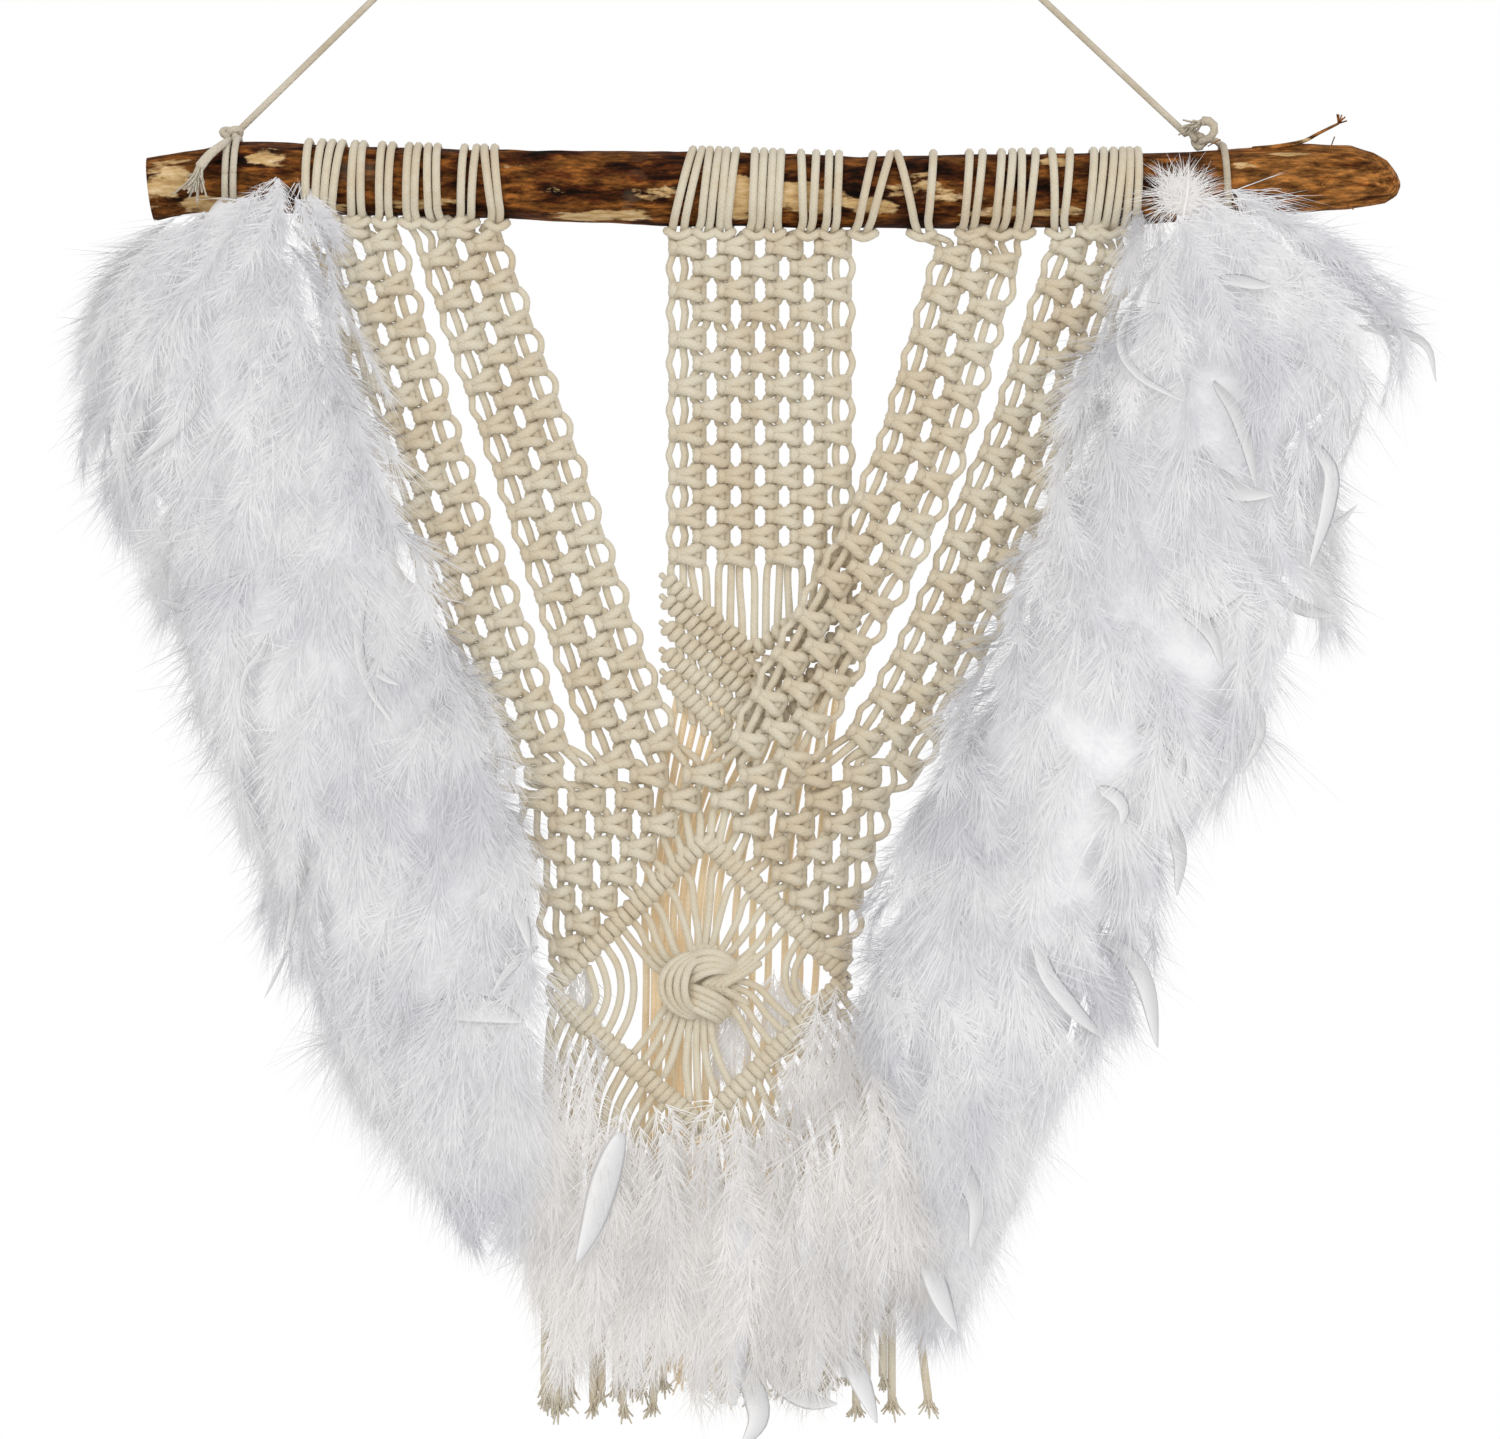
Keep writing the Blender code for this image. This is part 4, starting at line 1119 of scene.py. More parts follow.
@dataclass
class KnottedWork:
    """The four straps and the V-shaped net that their 32 cords are tied into."""

    cotton: Material
    net_rows: int = 9
    strap_feet: tuple[float, ...] = (531.0, 643.0, 762.0, 872.0)    # their middles at the net's top
    strand_pitch: float = 12.4

    def across_net(self, strand: Array, down: float) -> Array:
        """Places across of the cords at a place down in the net.

        The straps' spacing narrows steadily to the cords' feet on the diamond's bars.

        Args:
            strand: Numbers of cords, 0 to 31 from the left.
            down: Place down.

        Returns:
            Places across.
        """
        strap, inside = strand // 8, strand % 8
        high = np.array(self.strap_feet)[strap] + (inside - 3.5) * self.strand_pitch
        share = np.clip((down - NET_TOP) / (CORNER_LEFT[1] - NET_TOP), 0, 1)
        left = CORNER_LEFT[0] + (strand + 0.5) / 16 * (CORNER_TOP[0] - CORNER_LEFT[0])
        right = CORNER_TOP[0] + (strand - 15.5) / 16 * (CORNER_RIGHT[0] - CORNER_TOP[0])
        low = np.where(strand < 16, left, right)
        even = 506.0 + (strand + 0.5) * 12.5
        high = high + (even - high) * np.clip((down - NET_TOP) / 26.0, 0, 1)
        return high + (low - high) * share ** 0.9

    def depth_net(self, strand: Array, down: float) -> Array:
        """Depths of the cords at a place down: the crossing strap's come back to the others'."""
        ahead = np.where(strand // 8 == 2, 10.0, 0.0)
        return NET_DEPTH - ahead * np.clip((NET_TOP + 50.0 - down) / 50.0, 0, 1)

    def net_stops(self, threads: list[Thread]) -> None:
        """Lead the cords through the net's rows and on to the diamond's upper bars.

        Args:
            threads: The straps' 32 cords, from the left.
        """
        strands = np.arange(32)
        for row in range(self.net_rows):
            down = NET_TOP + 10.0 + NET_ROW * row
            across, depth = self.across_net(strands, down), self.depth_net(strands, down)
            first = 2 if row % 2 == 0 else 0
            for start in range(first, 32 - first, 4):
                group = slice(start, start + 4)
                middle = float(across[group].mean())
                if down + 15.0 > np.interp(middle, *np.array((CORNER_LEFT, CORNER_TOP, CORNER_RIGHT)).T):
                    continue
                spread = float(np.clip((across[start + 3] - across[start]) / 37.2, 0.86, 1.1))
                knot = SquareKnot(chart(middle, down, float(depth[group].mean())), RIGHT, UP, CORD * 1.06)
                for place, role in enumerate(Role):
                    threads[start + place].knot(knot.course(role, spread))
            if row % 2 == 0 and down < 940:
                for strand, bow in ((0, -7.0), (1, -1.0), (30, 1.0), (31, 7.0)):
                    threads[strand].free(chart(across[strand] + bow * np.array((0.5, 1.0, 0.5)),
                                               down + np.array((-10.0, 0.0, 10.0)), depth[strand]))
        for strand, thread in enumerate(threads):
            bar = (CORNER_LEFT, CORNER_TOP) if strand < 16 else (CORNER_TOP, CORNER_RIGHT)
            foot = bar_line(*bar, (strand % 16 + 0.6) / 16.2)
            last = thread.parts[-1][-1]
            if last[2] > foot[2] + 0.006:
                thread.free(foot + [0.0, -0.003, 0.0045], 0.9)
            thread.free(foot, 0.9)

    def build(self) -> None:
        """Make the four straps, and the net as far as the diamond."""
        threads: list[Thread] = []
        for strap in STRAPS:
            threads.extend(strap.threads())
        self.net_stops(threads)
        courses = [smooth(thread.control_points()) for thread in threads]
        cut = -(NET_TOP - DOWN_ZERO) * UNIT
        net = Surface()
        for number, strap in enumerate(STRAPS):
            surface = Surface()
            loops = strap.heads.loops()
            for pair in range(4):
                legs = []
                for side in (0, 1):
                    course = courses[number * 8 + pair * 2 + side]
                    low = int(np.argmax(course[:, 2] < cut))
                    legs.append(course[:low + 1])
                    net.cord(course[low:])
                surface.cord(folded(legs[0], loops[pair], legs[1]))
            hand_over(surface.build(strap.node + "_cords", self.cotton), "cotton", strap.node)
        Diamond(self.cotton).build(net)


# ------------------------------------------------------------------ bars, diamond, fringe
POINTS_IN_TURN = 17         # rings of a hitched bar's wound cord in one turn


def wound_bar(surface: Surface, start: Array, end: Array, turns: float, reach: float,
              draw: Draw) -> None:
    """A bar of hitches: a leader cord and the turns of the cords wound round it.

    A turn's point is the bar's line plus reach * (up cos a + front sin a), while a grows evenly
    along the bar; reach and pitch waver a little from turn to turn.

    Args:
        surface: Where it goes.
        start: First point of the bar's middle line.
        end: Last point.
        turns: Turns wound on it.
        reach: Radius of the turns' middle line.
        draw: Seeded random numbers.
    """
    way = unit(end - start)
    front = unit(TOWARDS_VIEWER - way * float(TOWARDS_VIEWER @ way))
    up = np.cross(way, front)
    share = np.linspace(0, 1, int(turns * POINTS_IN_TURN))
    angle = 2 * np.pi * turns * share
    knots = np.arange(int(turns) + 3)
    waver = np.interp(turns * share, knots, draw.uniform(0.93, 1.07, len(knots)))
    shift = np.interp(turns * share, knots, draw.uniform(-0.10, 0.10, len(knots))) / turns
    lean = 0.14 * np.cos(angle) / turns
    line = start + (share + shift * np.sin(np.pi * share) + lean)[:, None] * (end - start)
    path = line + (reach * waver)[:, None] * (up * np.cos(angle)[:, None] + front * np.sin(angle)[:, None])
    surface.sweep(path, KNOTTED)
    leader = smooth([start - way * 0.004, (start + end) / 2, end + way * 0.004], 0.006)
    surface.sweep(leader, reach * 0.6, 6)


@dataclass
class Diamond:
    """The diamond: hitched bars, bowed cords inside and a large knot of bundled cords."""

    cotton: Material
    bar_turns: int = 24
    bar_reach: float = 3.3 * MM
    # Bands of the large knot: first and last cord's course as (across, down, depth), and cords.
    bands: tuple[tuple[Course, Course, int], ...] = (
        (((694, 946, -4), (695, 965, -6), (695, 1000, -6), (692, 1014, -4)),
         ((722, 946, -4), (720, 965, -6), (716, 1000, -6), (710, 1014, -4)), 5),
        (((706, 957, -2), (692, 954, -7), (676, 960, -11), (665, 972, -13), (662, 984, -14), (665, 996, -13),
          (675, 1008, -11), (690, 1015, -8), (704, 1013, -3)),
         ((706, 961, -3), (699, 960, -10), (691, 964, -14), (687, 973, -17), (685, 984, -18), (686, 995, -17),
          (690, 1004, -14), (698, 1009, -10), (706, 1008, -3)), 4),
        (((684, 960, -6), (696, 954, -10), (710, 951, -13), (724, 955, -12), (734, 964, -8), (738, 974, -3)),
         ((684, 984, -7), (692, 979, -12), (704, 972, -15), (716, 969, -15), (727, 970, -10),
          (733, 978, -3)), 4),
        (((682, 984, -7), (692, 986, -12), (704, 989, -15), (716, 995, -14), (727, 1003, -9),
          (731, 1011, -3)),
         ((682, 997, -7), (688, 1003, -11), (697, 1008, -13), (707, 1013, -12), (715, 1017, -8),
          (719, 1021, -3)), 4),
        (((752, 952, -4), (734, 966, -7), (716, 976, -10), (704, 985, -11), (714, 989, -9), (736, 992, -5)),
         ((760, 962, -3), (744, 973, -6), (730, 980, -9), (722, 986, -10), (730, 992, -8),
          (748, 1004, -4)), 4),
    )
    # Courses of the cords inside, as (across, down) from the upper bars to the lower ones.
    bowed: tuple[Course, ...] = (
        ((588, 966), (594, 984), (596, 998), (590, 1009), (584, 1018)),
        ((598, 957), (605, 974), (608, 994), (602, 1014), (594, 1026)),
        ((606, 946), (618, 966), (621, 992), (614, 1018), (604, 1036)),
        ((616, 936), (630, 960), (634, 990), (629, 1016), (617, 1040)),
        ((798, 940), (787, 960), (785, 978), (790, 995), (800, 1006)),
        ((806, 948), (796, 966), (794, 982), (799, 996), (808, 1004)),
    )
    to_knot: tuple[Course, ...] = (
        ((624, 930), (640, 950), (656, 968), (668, 974)), ((633, 921), (646, 942), (660, 962), (670, 968)),
        ((643, 912), (656, 938), (667, 958), (676, 964)), ((654, 902), (668, 930), (676, 952), (684, 960)),
        ((668, 888), (682, 916), (690, 944), (692, 956)), ((684, 872), (694, 905), (699, 940), (697, 956)),
        ((720, 862), (710, 900), (706, 938), (703, 956)), ((736, 878), (722, 908), (714, 938), (708, 956)),
        ((750, 893), (738, 918), (726, 942), (716, 958)), ((764, 906), (748, 930), (732, 950), (720, 962)),
        ((776, 916), (760, 940), (742, 958), (726, 966)), ((786, 926), (768, 948), (750, 962), (728, 970)),
    )
    from_knot: tuple[Course, ...] = (
        ((672, 1000), (662, 1012), (648, 1034), (634, 1052)),
        ((676, 1003), (668, 1018), (656, 1042), (644, 1060)),
        ((681, 1006), (674, 1024), (664, 1050), (654, 1068)),
        ((686, 1008), (680, 1030), (672, 1058), (664, 1076)),
        ((692, 1008), (688, 1036), (686, 1066), (690, 1100)),
        ((698, 1008), (696, 1040), (697, 1072), (700, 1106)),
        ((704, 1008), (704, 1040), (708, 1068), (716, 1094)),
        ((710, 1007), (712, 1036), (720, 1062), (730, 1084)),
        ((718, 998), (734, 1010), (748, 1034), (760, 1056)),
        ((722, 992), (742, 1004), (758, 1026), (772, 1044)),
        ((726, 984), (750, 994), (768, 1016), (784, 1032)),
        ((728, 978), (756, 986), (776, 1006), (794, 1022)),
    )

    def bars(self, surface: Surface, corners: Course, draw: Draw) -> None:
        """Wind the two bars through three corners.

        Args:
            surface: Where they go.
            corners: The corners on their middle line.
            draw: Seeded random numbers.
        """
        points = on_chart(corners)
        for start, end in zip(points, points[1:]):
            wound_bar(surface, start, end, self.bar_turns, self.bar_reach, draw)

    def large_knot(self, surface: Surface) -> None:
        """The large square knot, each of whose bands is a fan of cords between two courses.

        Args:
            surface: Where it goes.
        """
        for first, last, cords in self.bands:
            start, end = on_chart(first), on_chart(last)
            for share in np.linspace(0, 1, cords):
                surface.sweep(smooth(start + (end - start) * share, 0.002), CORD * 0.48)

    def build(self, net: Surface) -> None:
        """Finish the net's piece with the upper bars and what the diamond holds, and hang the fringe.

        A cord to the large knot leaves its bar with a bend towards the middle.

        Args:
            net: The net's cords.
        """
        draw = np.random.default_rng(5)
        self.bars(net, (CORNER_LEFT, CORNER_TOP, CORNER_RIGHT), draw)
        for cords, depths in ((self.bowed, (-4, -5, -5, -5, -4)), (self.to_knot, (-4, -5, -4, -4)),
                              (self.from_knot, (-4, -4, -5, -4))):
            for cord in cords:
                course = np.column_stack((cord, np.array(depths, float) + draw.uniform(-0.8, 0.8)))
                if cords is self.to_knot:
                    side = 1.0 if course[0, 0] < CORNER_TOP[0] else -1.0
                    course = np.insert(course, 1, course[0] + (side * 7.0, 9.0, 0.0), axis=0)
                net.sweep(smooth(on_chart(course), 0.003), CORD * 0.47)
        self.large_knot(net)
        hand_over(net.build("vee_net_cords", self.cotton), "cotton", "vee_net")
        lower = Surface()
        self.bars(lower, (CORNER_LEFT_LOW, CORNER_BOTTOM, CORNER_RIGHT_LOW), draw)
        Fringe().hang(lower, draw)
        hand_over(lower.build("fringe_cords", self.cotton), "cotton", "fringe")


def frayed_end(surface: Surface, tip: Array, way: Array, draw: Draw,
               fibres: int = 20, length: float = 6.8 * MM, flare: float = 0.28) -> None:
    """A cord's frayed end: fine fibres that fan out from it.

    Args:
        surface: Where they go.
        tip: The cord's end.
        way: Its direction there.
        draw: Seeded random numbers.
        fibres: How many.
        length: Their length.
        flare: How far they fan out, as a share of their length.
    """
    for lean in draw.normal(0, flare, (fibres, 3)):
        root = tip + lean * (1.0, 1.0, 0.0) * CORD * 0.5 - way * MM
        reach = length * draw.uniform(0.7, 1.15)
        middle = root + (way + lean * 0.45) * reach * 0.5
        fibre = smooth([root, middle, root + (way + lean) * reach], reach / 3)
        surface.sweep(fibre, np.linspace(0.00085, 0.00050, len(fibre)), 3)


@dataclass
class Fringe:
    """Cords that sweep out from the diamond's lower bars and then hang."""

    per_side: int = 15
    # How far cords sweep out: all of them and the outermost more, at the shoulder and hanging.
    left_sweep: tuple[float, float, float, float] = (24.0, -8.0, 34.0, -8.0)
    right_sweep: tuple[float, float, float, float] = (8.0, 22.0, 20.0, 34.0)
    ends: tuple[float, float] = (1362.0, 1404.0)
    lone: Course = ((842, 1010, -4), (872, 1080, -4), (900, 1180, -3), (917, 1288, -3), (922, 1350, -4),
                    (928, 1398, -4))

    def hang(self, surface: Surface, draw: Draw) -> None:
        """Add the cords of both sides and the lone one at the right.

        Args:
            surface: Where they go.
            draw: Seeded random numbers.
        """
        for side, corner, sweep in ((-1, CORNER_LEFT_LOW, self.left_sweep),
                                    (1, CORNER_RIGHT_LOW, self.right_sweep)):
            for k in range(self.per_side):
                t = (k + 0.5) / self.per_side
                root = np.array(corner) * (1 - t) + np.array(CORNER_BOTTOM) * t
                out = (1 - t) ** 0.8
                end = draw.uniform(*self.ends)
                shoulder = root + [side * (sweep[0] + sweep[1] * out), 34 + 10 * out]
                swing = side * (sweep[2] + sweep[3] * out) + draw.uniform(-3, 3)
                plumb = root + [swing, 124 - 20 * t]
                if side < 0:
                    shoulder[0] = max(shoulder[0], 549 + 5 * t)
                    plumb[0] = max(plumb[0], 546 + 4 * t + draw.uniform(0, 5))
                wander = draw.uniform(-5, 5)
                stops = ((*root, -4.0), (root[0] + side * 6, root[1] + 12, -5.0), (*shoulder, -4.0),
                         (*plumb, -3.5), (plumb[0] + wander, 1270, draw.uniform(-5, -2)),
                         (plumb[0] + wander * 1.4, end, -4.0))
                self.cord(surface, stops, draw)
        self.cord(surface, self.lone, draw)

    @staticmethod
    def cord(surface: Surface, stops: Course, draw: Draw, radius: float = CORD / 2) -> None:
        """One hanging cord with its frayed end.

        Args:
            surface: Where it goes.
            stops: Its course.
            draw: Seeded random numbers.
            radius: Its radius.
        """
        course = smooth(on_chart(stops), 0.005)
        surface.sweep(course, radius, 6)
        frayed_end(surface, course[-1], unit(course[-1] - course[-2]), draw)


# ------------------------------------------------------------------ centre panel
@dataclass
class CentrePanel:
    """Sixteen cords in rows of four knots and three, diagonal bars, and tails behind the net."""

    cotton: Material
    # painted light: a lighter, more glowing copy of the cotton for the tails, which lie in shade
    shaded: Material
    heads: HeadRow = HeadRow(
        (693, 702, 710, 719, 727, 736, 755, 764, 773, 781, 801, 816, 829, 839, 873, 890),
        (673, 684, 701, 710, 720, 727, 752, 760, 769, 777, 803, 812, 826, 836, 857, 869))
    middle: float = 760.0
    knot_pitch: float = 48.4
    rows: tuple[float, ...] = (248, 269, 291, 313, 340, 364, 388, 411, 434, 456, 477, 497, 517, 537, 556)
    bar_ends: tuple[tuple[float, float], ...] = (
        (580, 652), (601, 676), (627, 695), (654, 715), (676, 740))
    bar_left: float = 667.0
    bar_meet: tuple[float, ...] = (752, 752, 750, 744, 732)
    waists: tuple[float, ...] = (
        646, 654, 660, 668, 674, 680, 688, 697, 706, 716, 735, 752, 768, 784, 800, 816)

    def threads(self) -> list[Thread]:
        """The sixteen cords from the heads down to the first bar.

        Returns:
            One thread for each cord, from the left.
        """
        threads = [Thread() for _ in range(16)]
        for thread, end in zip(threads, self.heads.leg_ends()):
            thread.free(end, LEG_THICKNESS)
        for number, down in enumerate(self.rows):
            knots, first = (4, 0) if number % 2 == 0 else (3, 2)
            for group in range(knots):
                centre = chart(self.middle + (group - (knots - 1) / 2) * self.knot_pitch, down)
                for place, role in enumerate(Role):
                    threads[first + group * 4 + place].knot(SquareKnot(centre, RIGHT, UP).course(role))
            if knots == 4:
                continue
            for strand, reach in ((0, -91.0), (15, 92.5)):
                threads[strand].free(chart(self.middle + reach * np.array((0.97, 1.0, 0.97)),
                                           down + np.array((-9.0, 0.0, 9.0))))
            for strand, reach in ((1, -75.0), (14, 75.5)):
                threads[strand].free(chart(self.middle + reach, down), 0.88)
        for strand, thread in enumerate(threads):
            across = self.middle + (strand - 7.5) * 11.8
            fall = 640.0 - abs(across - self.middle) / 94.0 * 58.0
            before = min(fall - 6.0, 596.0) if strand in (0, 15) else fall - 8.0
            thread.free(chart(across, before), 0.9)
            thread.free(chart(across, fall + 10.0), 0.9)
        return threads

    def bars(self, surface: Surface, draw: Draw) -> None:
        """The diagonal hitched bars, each falling to its meeting place from both sides.

        Short cords fan out below the left half of each.

        Args:
            surface: Where they go.
            draw: Seeded random numbers.
        """
        for (high, low), meet in zip(self.bar_ends, self.bar_meet):
            for edge in (self.bar_left, 2 * self.middle - self.bar_left):
                wound_bar(surface, chart(edge, high, -4.5), chart(meet, low, -4.5), 11, 2.5 * MM, draw)
            for k in range(7):
                across = self.bar_left + 12 + k * 12.0
                down = high + (low - high) * (across - self.bar_left) / (meet - self.bar_left)
                fan = ((across, down + 4, -3.5), (across + 1, down + 14, -3.5), (across + 2, down + 24, -3.5))
                surface.sweep(smooth(on_chart(fan), 0.004), CORD / 2, 6)

    def tails(self, surface: Surface, draw: Draw) -> None:
        """The cords' lower parts, which hang behind the net down to the fringe.

        Args:
            surface: Where they go.
            draw: Seeded random numbers.
        """
        for k, waist in enumerate(self.waists):
            across = self.bar_left + 14 + k * 10.5
            start = 688 + 50 * (1 - abs(k - 7.5) / 8)
            foot = 640 + k * 8.2 + draw.uniform(-4, 4)
            end = draw.uniform(1352, 1388)
            depth = 8.5 + 3.0 * (k % 2)
            stops = ((across, start - 8, -3.0), (across + (waist - across) * 0.2, start + 24, 3.0),
                     (across + (waist - across) * 0.7, 820, depth), (waist + draw.uniform(-3, 3), 900, depth),
                     (waist, 980, depth), (waist + (foot - waist) * 0.3, 1090, depth),
                     (foot, 1240, depth - 3), (foot, end, 3.0))
            Fringe.cord(surface, stops, draw, CORD * 0.43)

    def build(self) -> None:
        """Make the panel with its heads, bars and tails."""
        draw = np.random.default_rng(3)
        surface = Surface()
        courses = [smooth(thread.control_points()) for thread in self.threads()]
        for pair, loop in enumerate(self.heads.loops()):
            surface.cord(folded(courses[pair * 2], loop, courses[pair * 2 + 1]))
        self.bars(surface, draw)
        hand_over(surface.build("centre_panel_cords", self.cotton), "cotton", "centre_panel")
        behind = Surface()
        self.tails(behind, draw)
        hand_over(behind.build("centre_panel_tails", self.shaded), "cotton")


# ------------------------------------------------------------------ hanger
@dataclass(frozen=True)
class TiedEnd:
    """An end of the cord, tied round the branch: its knot, wraps and frayed tail."""

    name: str
    place: tuple[float, float]                  # where the leg meets the knot, on the chart
    low: tuple[float, ...]                      # places across of the wraps, at the branch's bottom
    top: tuple[float, ...]                      # and at its top
    knot_shift: tuple[float, float, float]      # of the knot from the place, in metres
    knot_right: tuple[float, float, float]
    tail: Course
    tail_end: float                             # radius of the tail's end, in cord thicknesses
    fray_way: tuple[float, float, float]
    fray: tuple[int, float, float]              # fibres, length and flare
    bridge: Course = ()                         # a stretch of cord between knot and wraps


@dataclass
class Hanger:
    """The cord that carries the branch: two legs to the nail, tied ends with frayed tails."""

    cotton: Material
    depth: float = -1.5
    slack: float = 0.0004       # by which the cord's bend rounds off under the nail
    left: TiedEnd = TiedEnd(
        "left", (232.0, 138.0), (228.0, 236.0), (230.0, 238.5), (0.0, -0.001, 0.0012), (1.0, 0.0, 0.0),
        ((230, 143, -10), (224, 150, -17), (214, 160, -21), (205, 172, -22.5)), 0.75,
        (-0.25, -0.05, -1.0), (46, 12 * MM, 0.24))
    right: TiedEnd = TiedEnd(
        "right", (1194.0, 142.0), (1226.0,), (1222.0,), (0.0015, -0.001, 0.001), (0.8, 0.0, -0.6),
        ((1199, 143, -5), (1209, 139, -8), (1213, 131, -9), (1209, 124, -9), (1201, 123, -8)), 0.7,
        (-0.8, -0.1, -0.5), (34, 7.5 * MM, 0.26),
        ((1197, 144, -2), (1206, 141, -3), (1214, 141, -3), (1221, 146, -2)))

    def wraps(self, surface: Surface, low: Sequence[float], top: Sequence[float]) -> None:
        """Close loops round the branch.

        Args:
            surface: Where they go.
            low: Places across at the branch's bottom.
            top: Places across at its top.
        """
        turns = np.radians(np.arange(0, 361, 20))
        for foot, head in zip(low, top):
            middle, radius = BRANCH.axis(np.array((foot + head) / 2))
            reach = float(radius) * UNIT + FINE_CORD * 0.55
            ring = chart(foot + (head - foot) * (1 + np.sin(turns)) / 2, float(middle), 0.0)
            ring[:, 1] = -np.cos(turns) * reach
            ring[:, 2] += np.sin(turns) * reach
            ring[-1] = ring[0]
            surface.sweep(smooth(ring, 0.003), FINE_CORD / 2)

    def knot(self, surface: Surface, centre: Array, right: Array) -> None:
        """A small overhand knot: a trefoil-like loop pulled tight.

        A point is centre + size * (sin a + 2 sin 2a, 0.8 * (cos a - 2 cos 2a), -1.1 * sin 3a), to
        the right, up and to the front.

        Args:
            surface: Where it goes.
            centre: Its middle.
            right: Direction of its first measure.
        """
        a = np.linspace(0, 2 * np.pi, 40)
        size = 0.0016
        path = (centre + size * (np.sin(a) + 2 * np.sin(2 * a))[:, None] * right
                + size * 0.8 * (np.cos(a) - 2 * np.cos(2 * a))[:, None] * UP
                + size * 1.1 * -np.sin(3 * a)[:, None] * TOWARDS_VIEWER)
        surface.sweep(smooth(path[::2], 0.0016), FINE_CORD / 2)

    def tied_end(self, end: TiedEnd, draw: Draw) -> None:
        """Make one tied end.

        Args:
            end: Which one.
            draw: Seeded random numbers.
        """
        tied = Surface()
        self.wraps(tied, end.low, end.top)
        self.knot(tied, chart(*end.place, self.depth) + end.knot_shift, np.array(end.knot_right))
        if end.bridge:
            tied.sweep(smooth(on_chart(end.bridge), 0.003), FINE_CORD / 2)
        tail = smooth(on_chart(end.tail), 0.003)
        tied.sweep(tail, np.linspace(FINE_CORD / 2, FINE_CORD * end.tail_end, len(tail)))
        frayed_end(tied, tail[-1], unit(np.array(end.fray_way)), draw, *end.fray)
        piece = tied.build(f"hanger_{end.name}_end", self.cotton)
        hand_over(piece, "hanger_cotton", f"hanger_knot_{end.name}")

    def build(self) -> None:
        """Make the cord, then each tied end."""
        draw = np.random.default_rng(17)
        cord = Surface()
        left, right = (chart(*end.place, self.depth) for end in (self.left, self.right))
        bend = np.array([0.0, 0.0, -FINE_CORD / 2])
        legs = [bend + (left - bend) * t for t in (0.985, 0.5, 0.02)]
        legs += [bend + UP * self.slack] + [bend + (right - bend) * t for t in (0.02, 0.5, 0.985)]
        cord.sweep(smooth(legs, 0.004), FINE_CORD / 2, 8)
        hand_over(cord.build("hanger_cord_whole", self.cotton), "hanger_cotton", "hanger_cord")
        self.tied_end(self.left, draw)
        self.tied_end(self.right, draw)


# ------------------------------------------------------------------ feathers
@dataclass(frozen=True)
class Section:
    """Cut through a body of down, in millimetres: drop, left and right x, front and back y."""

    drop: float
    left: float
    right: float
    front: float
    back: float


EVEN_STEPS = (0.7548776662, 0.5698402910)   # fractions whose multiples fill a square evenly


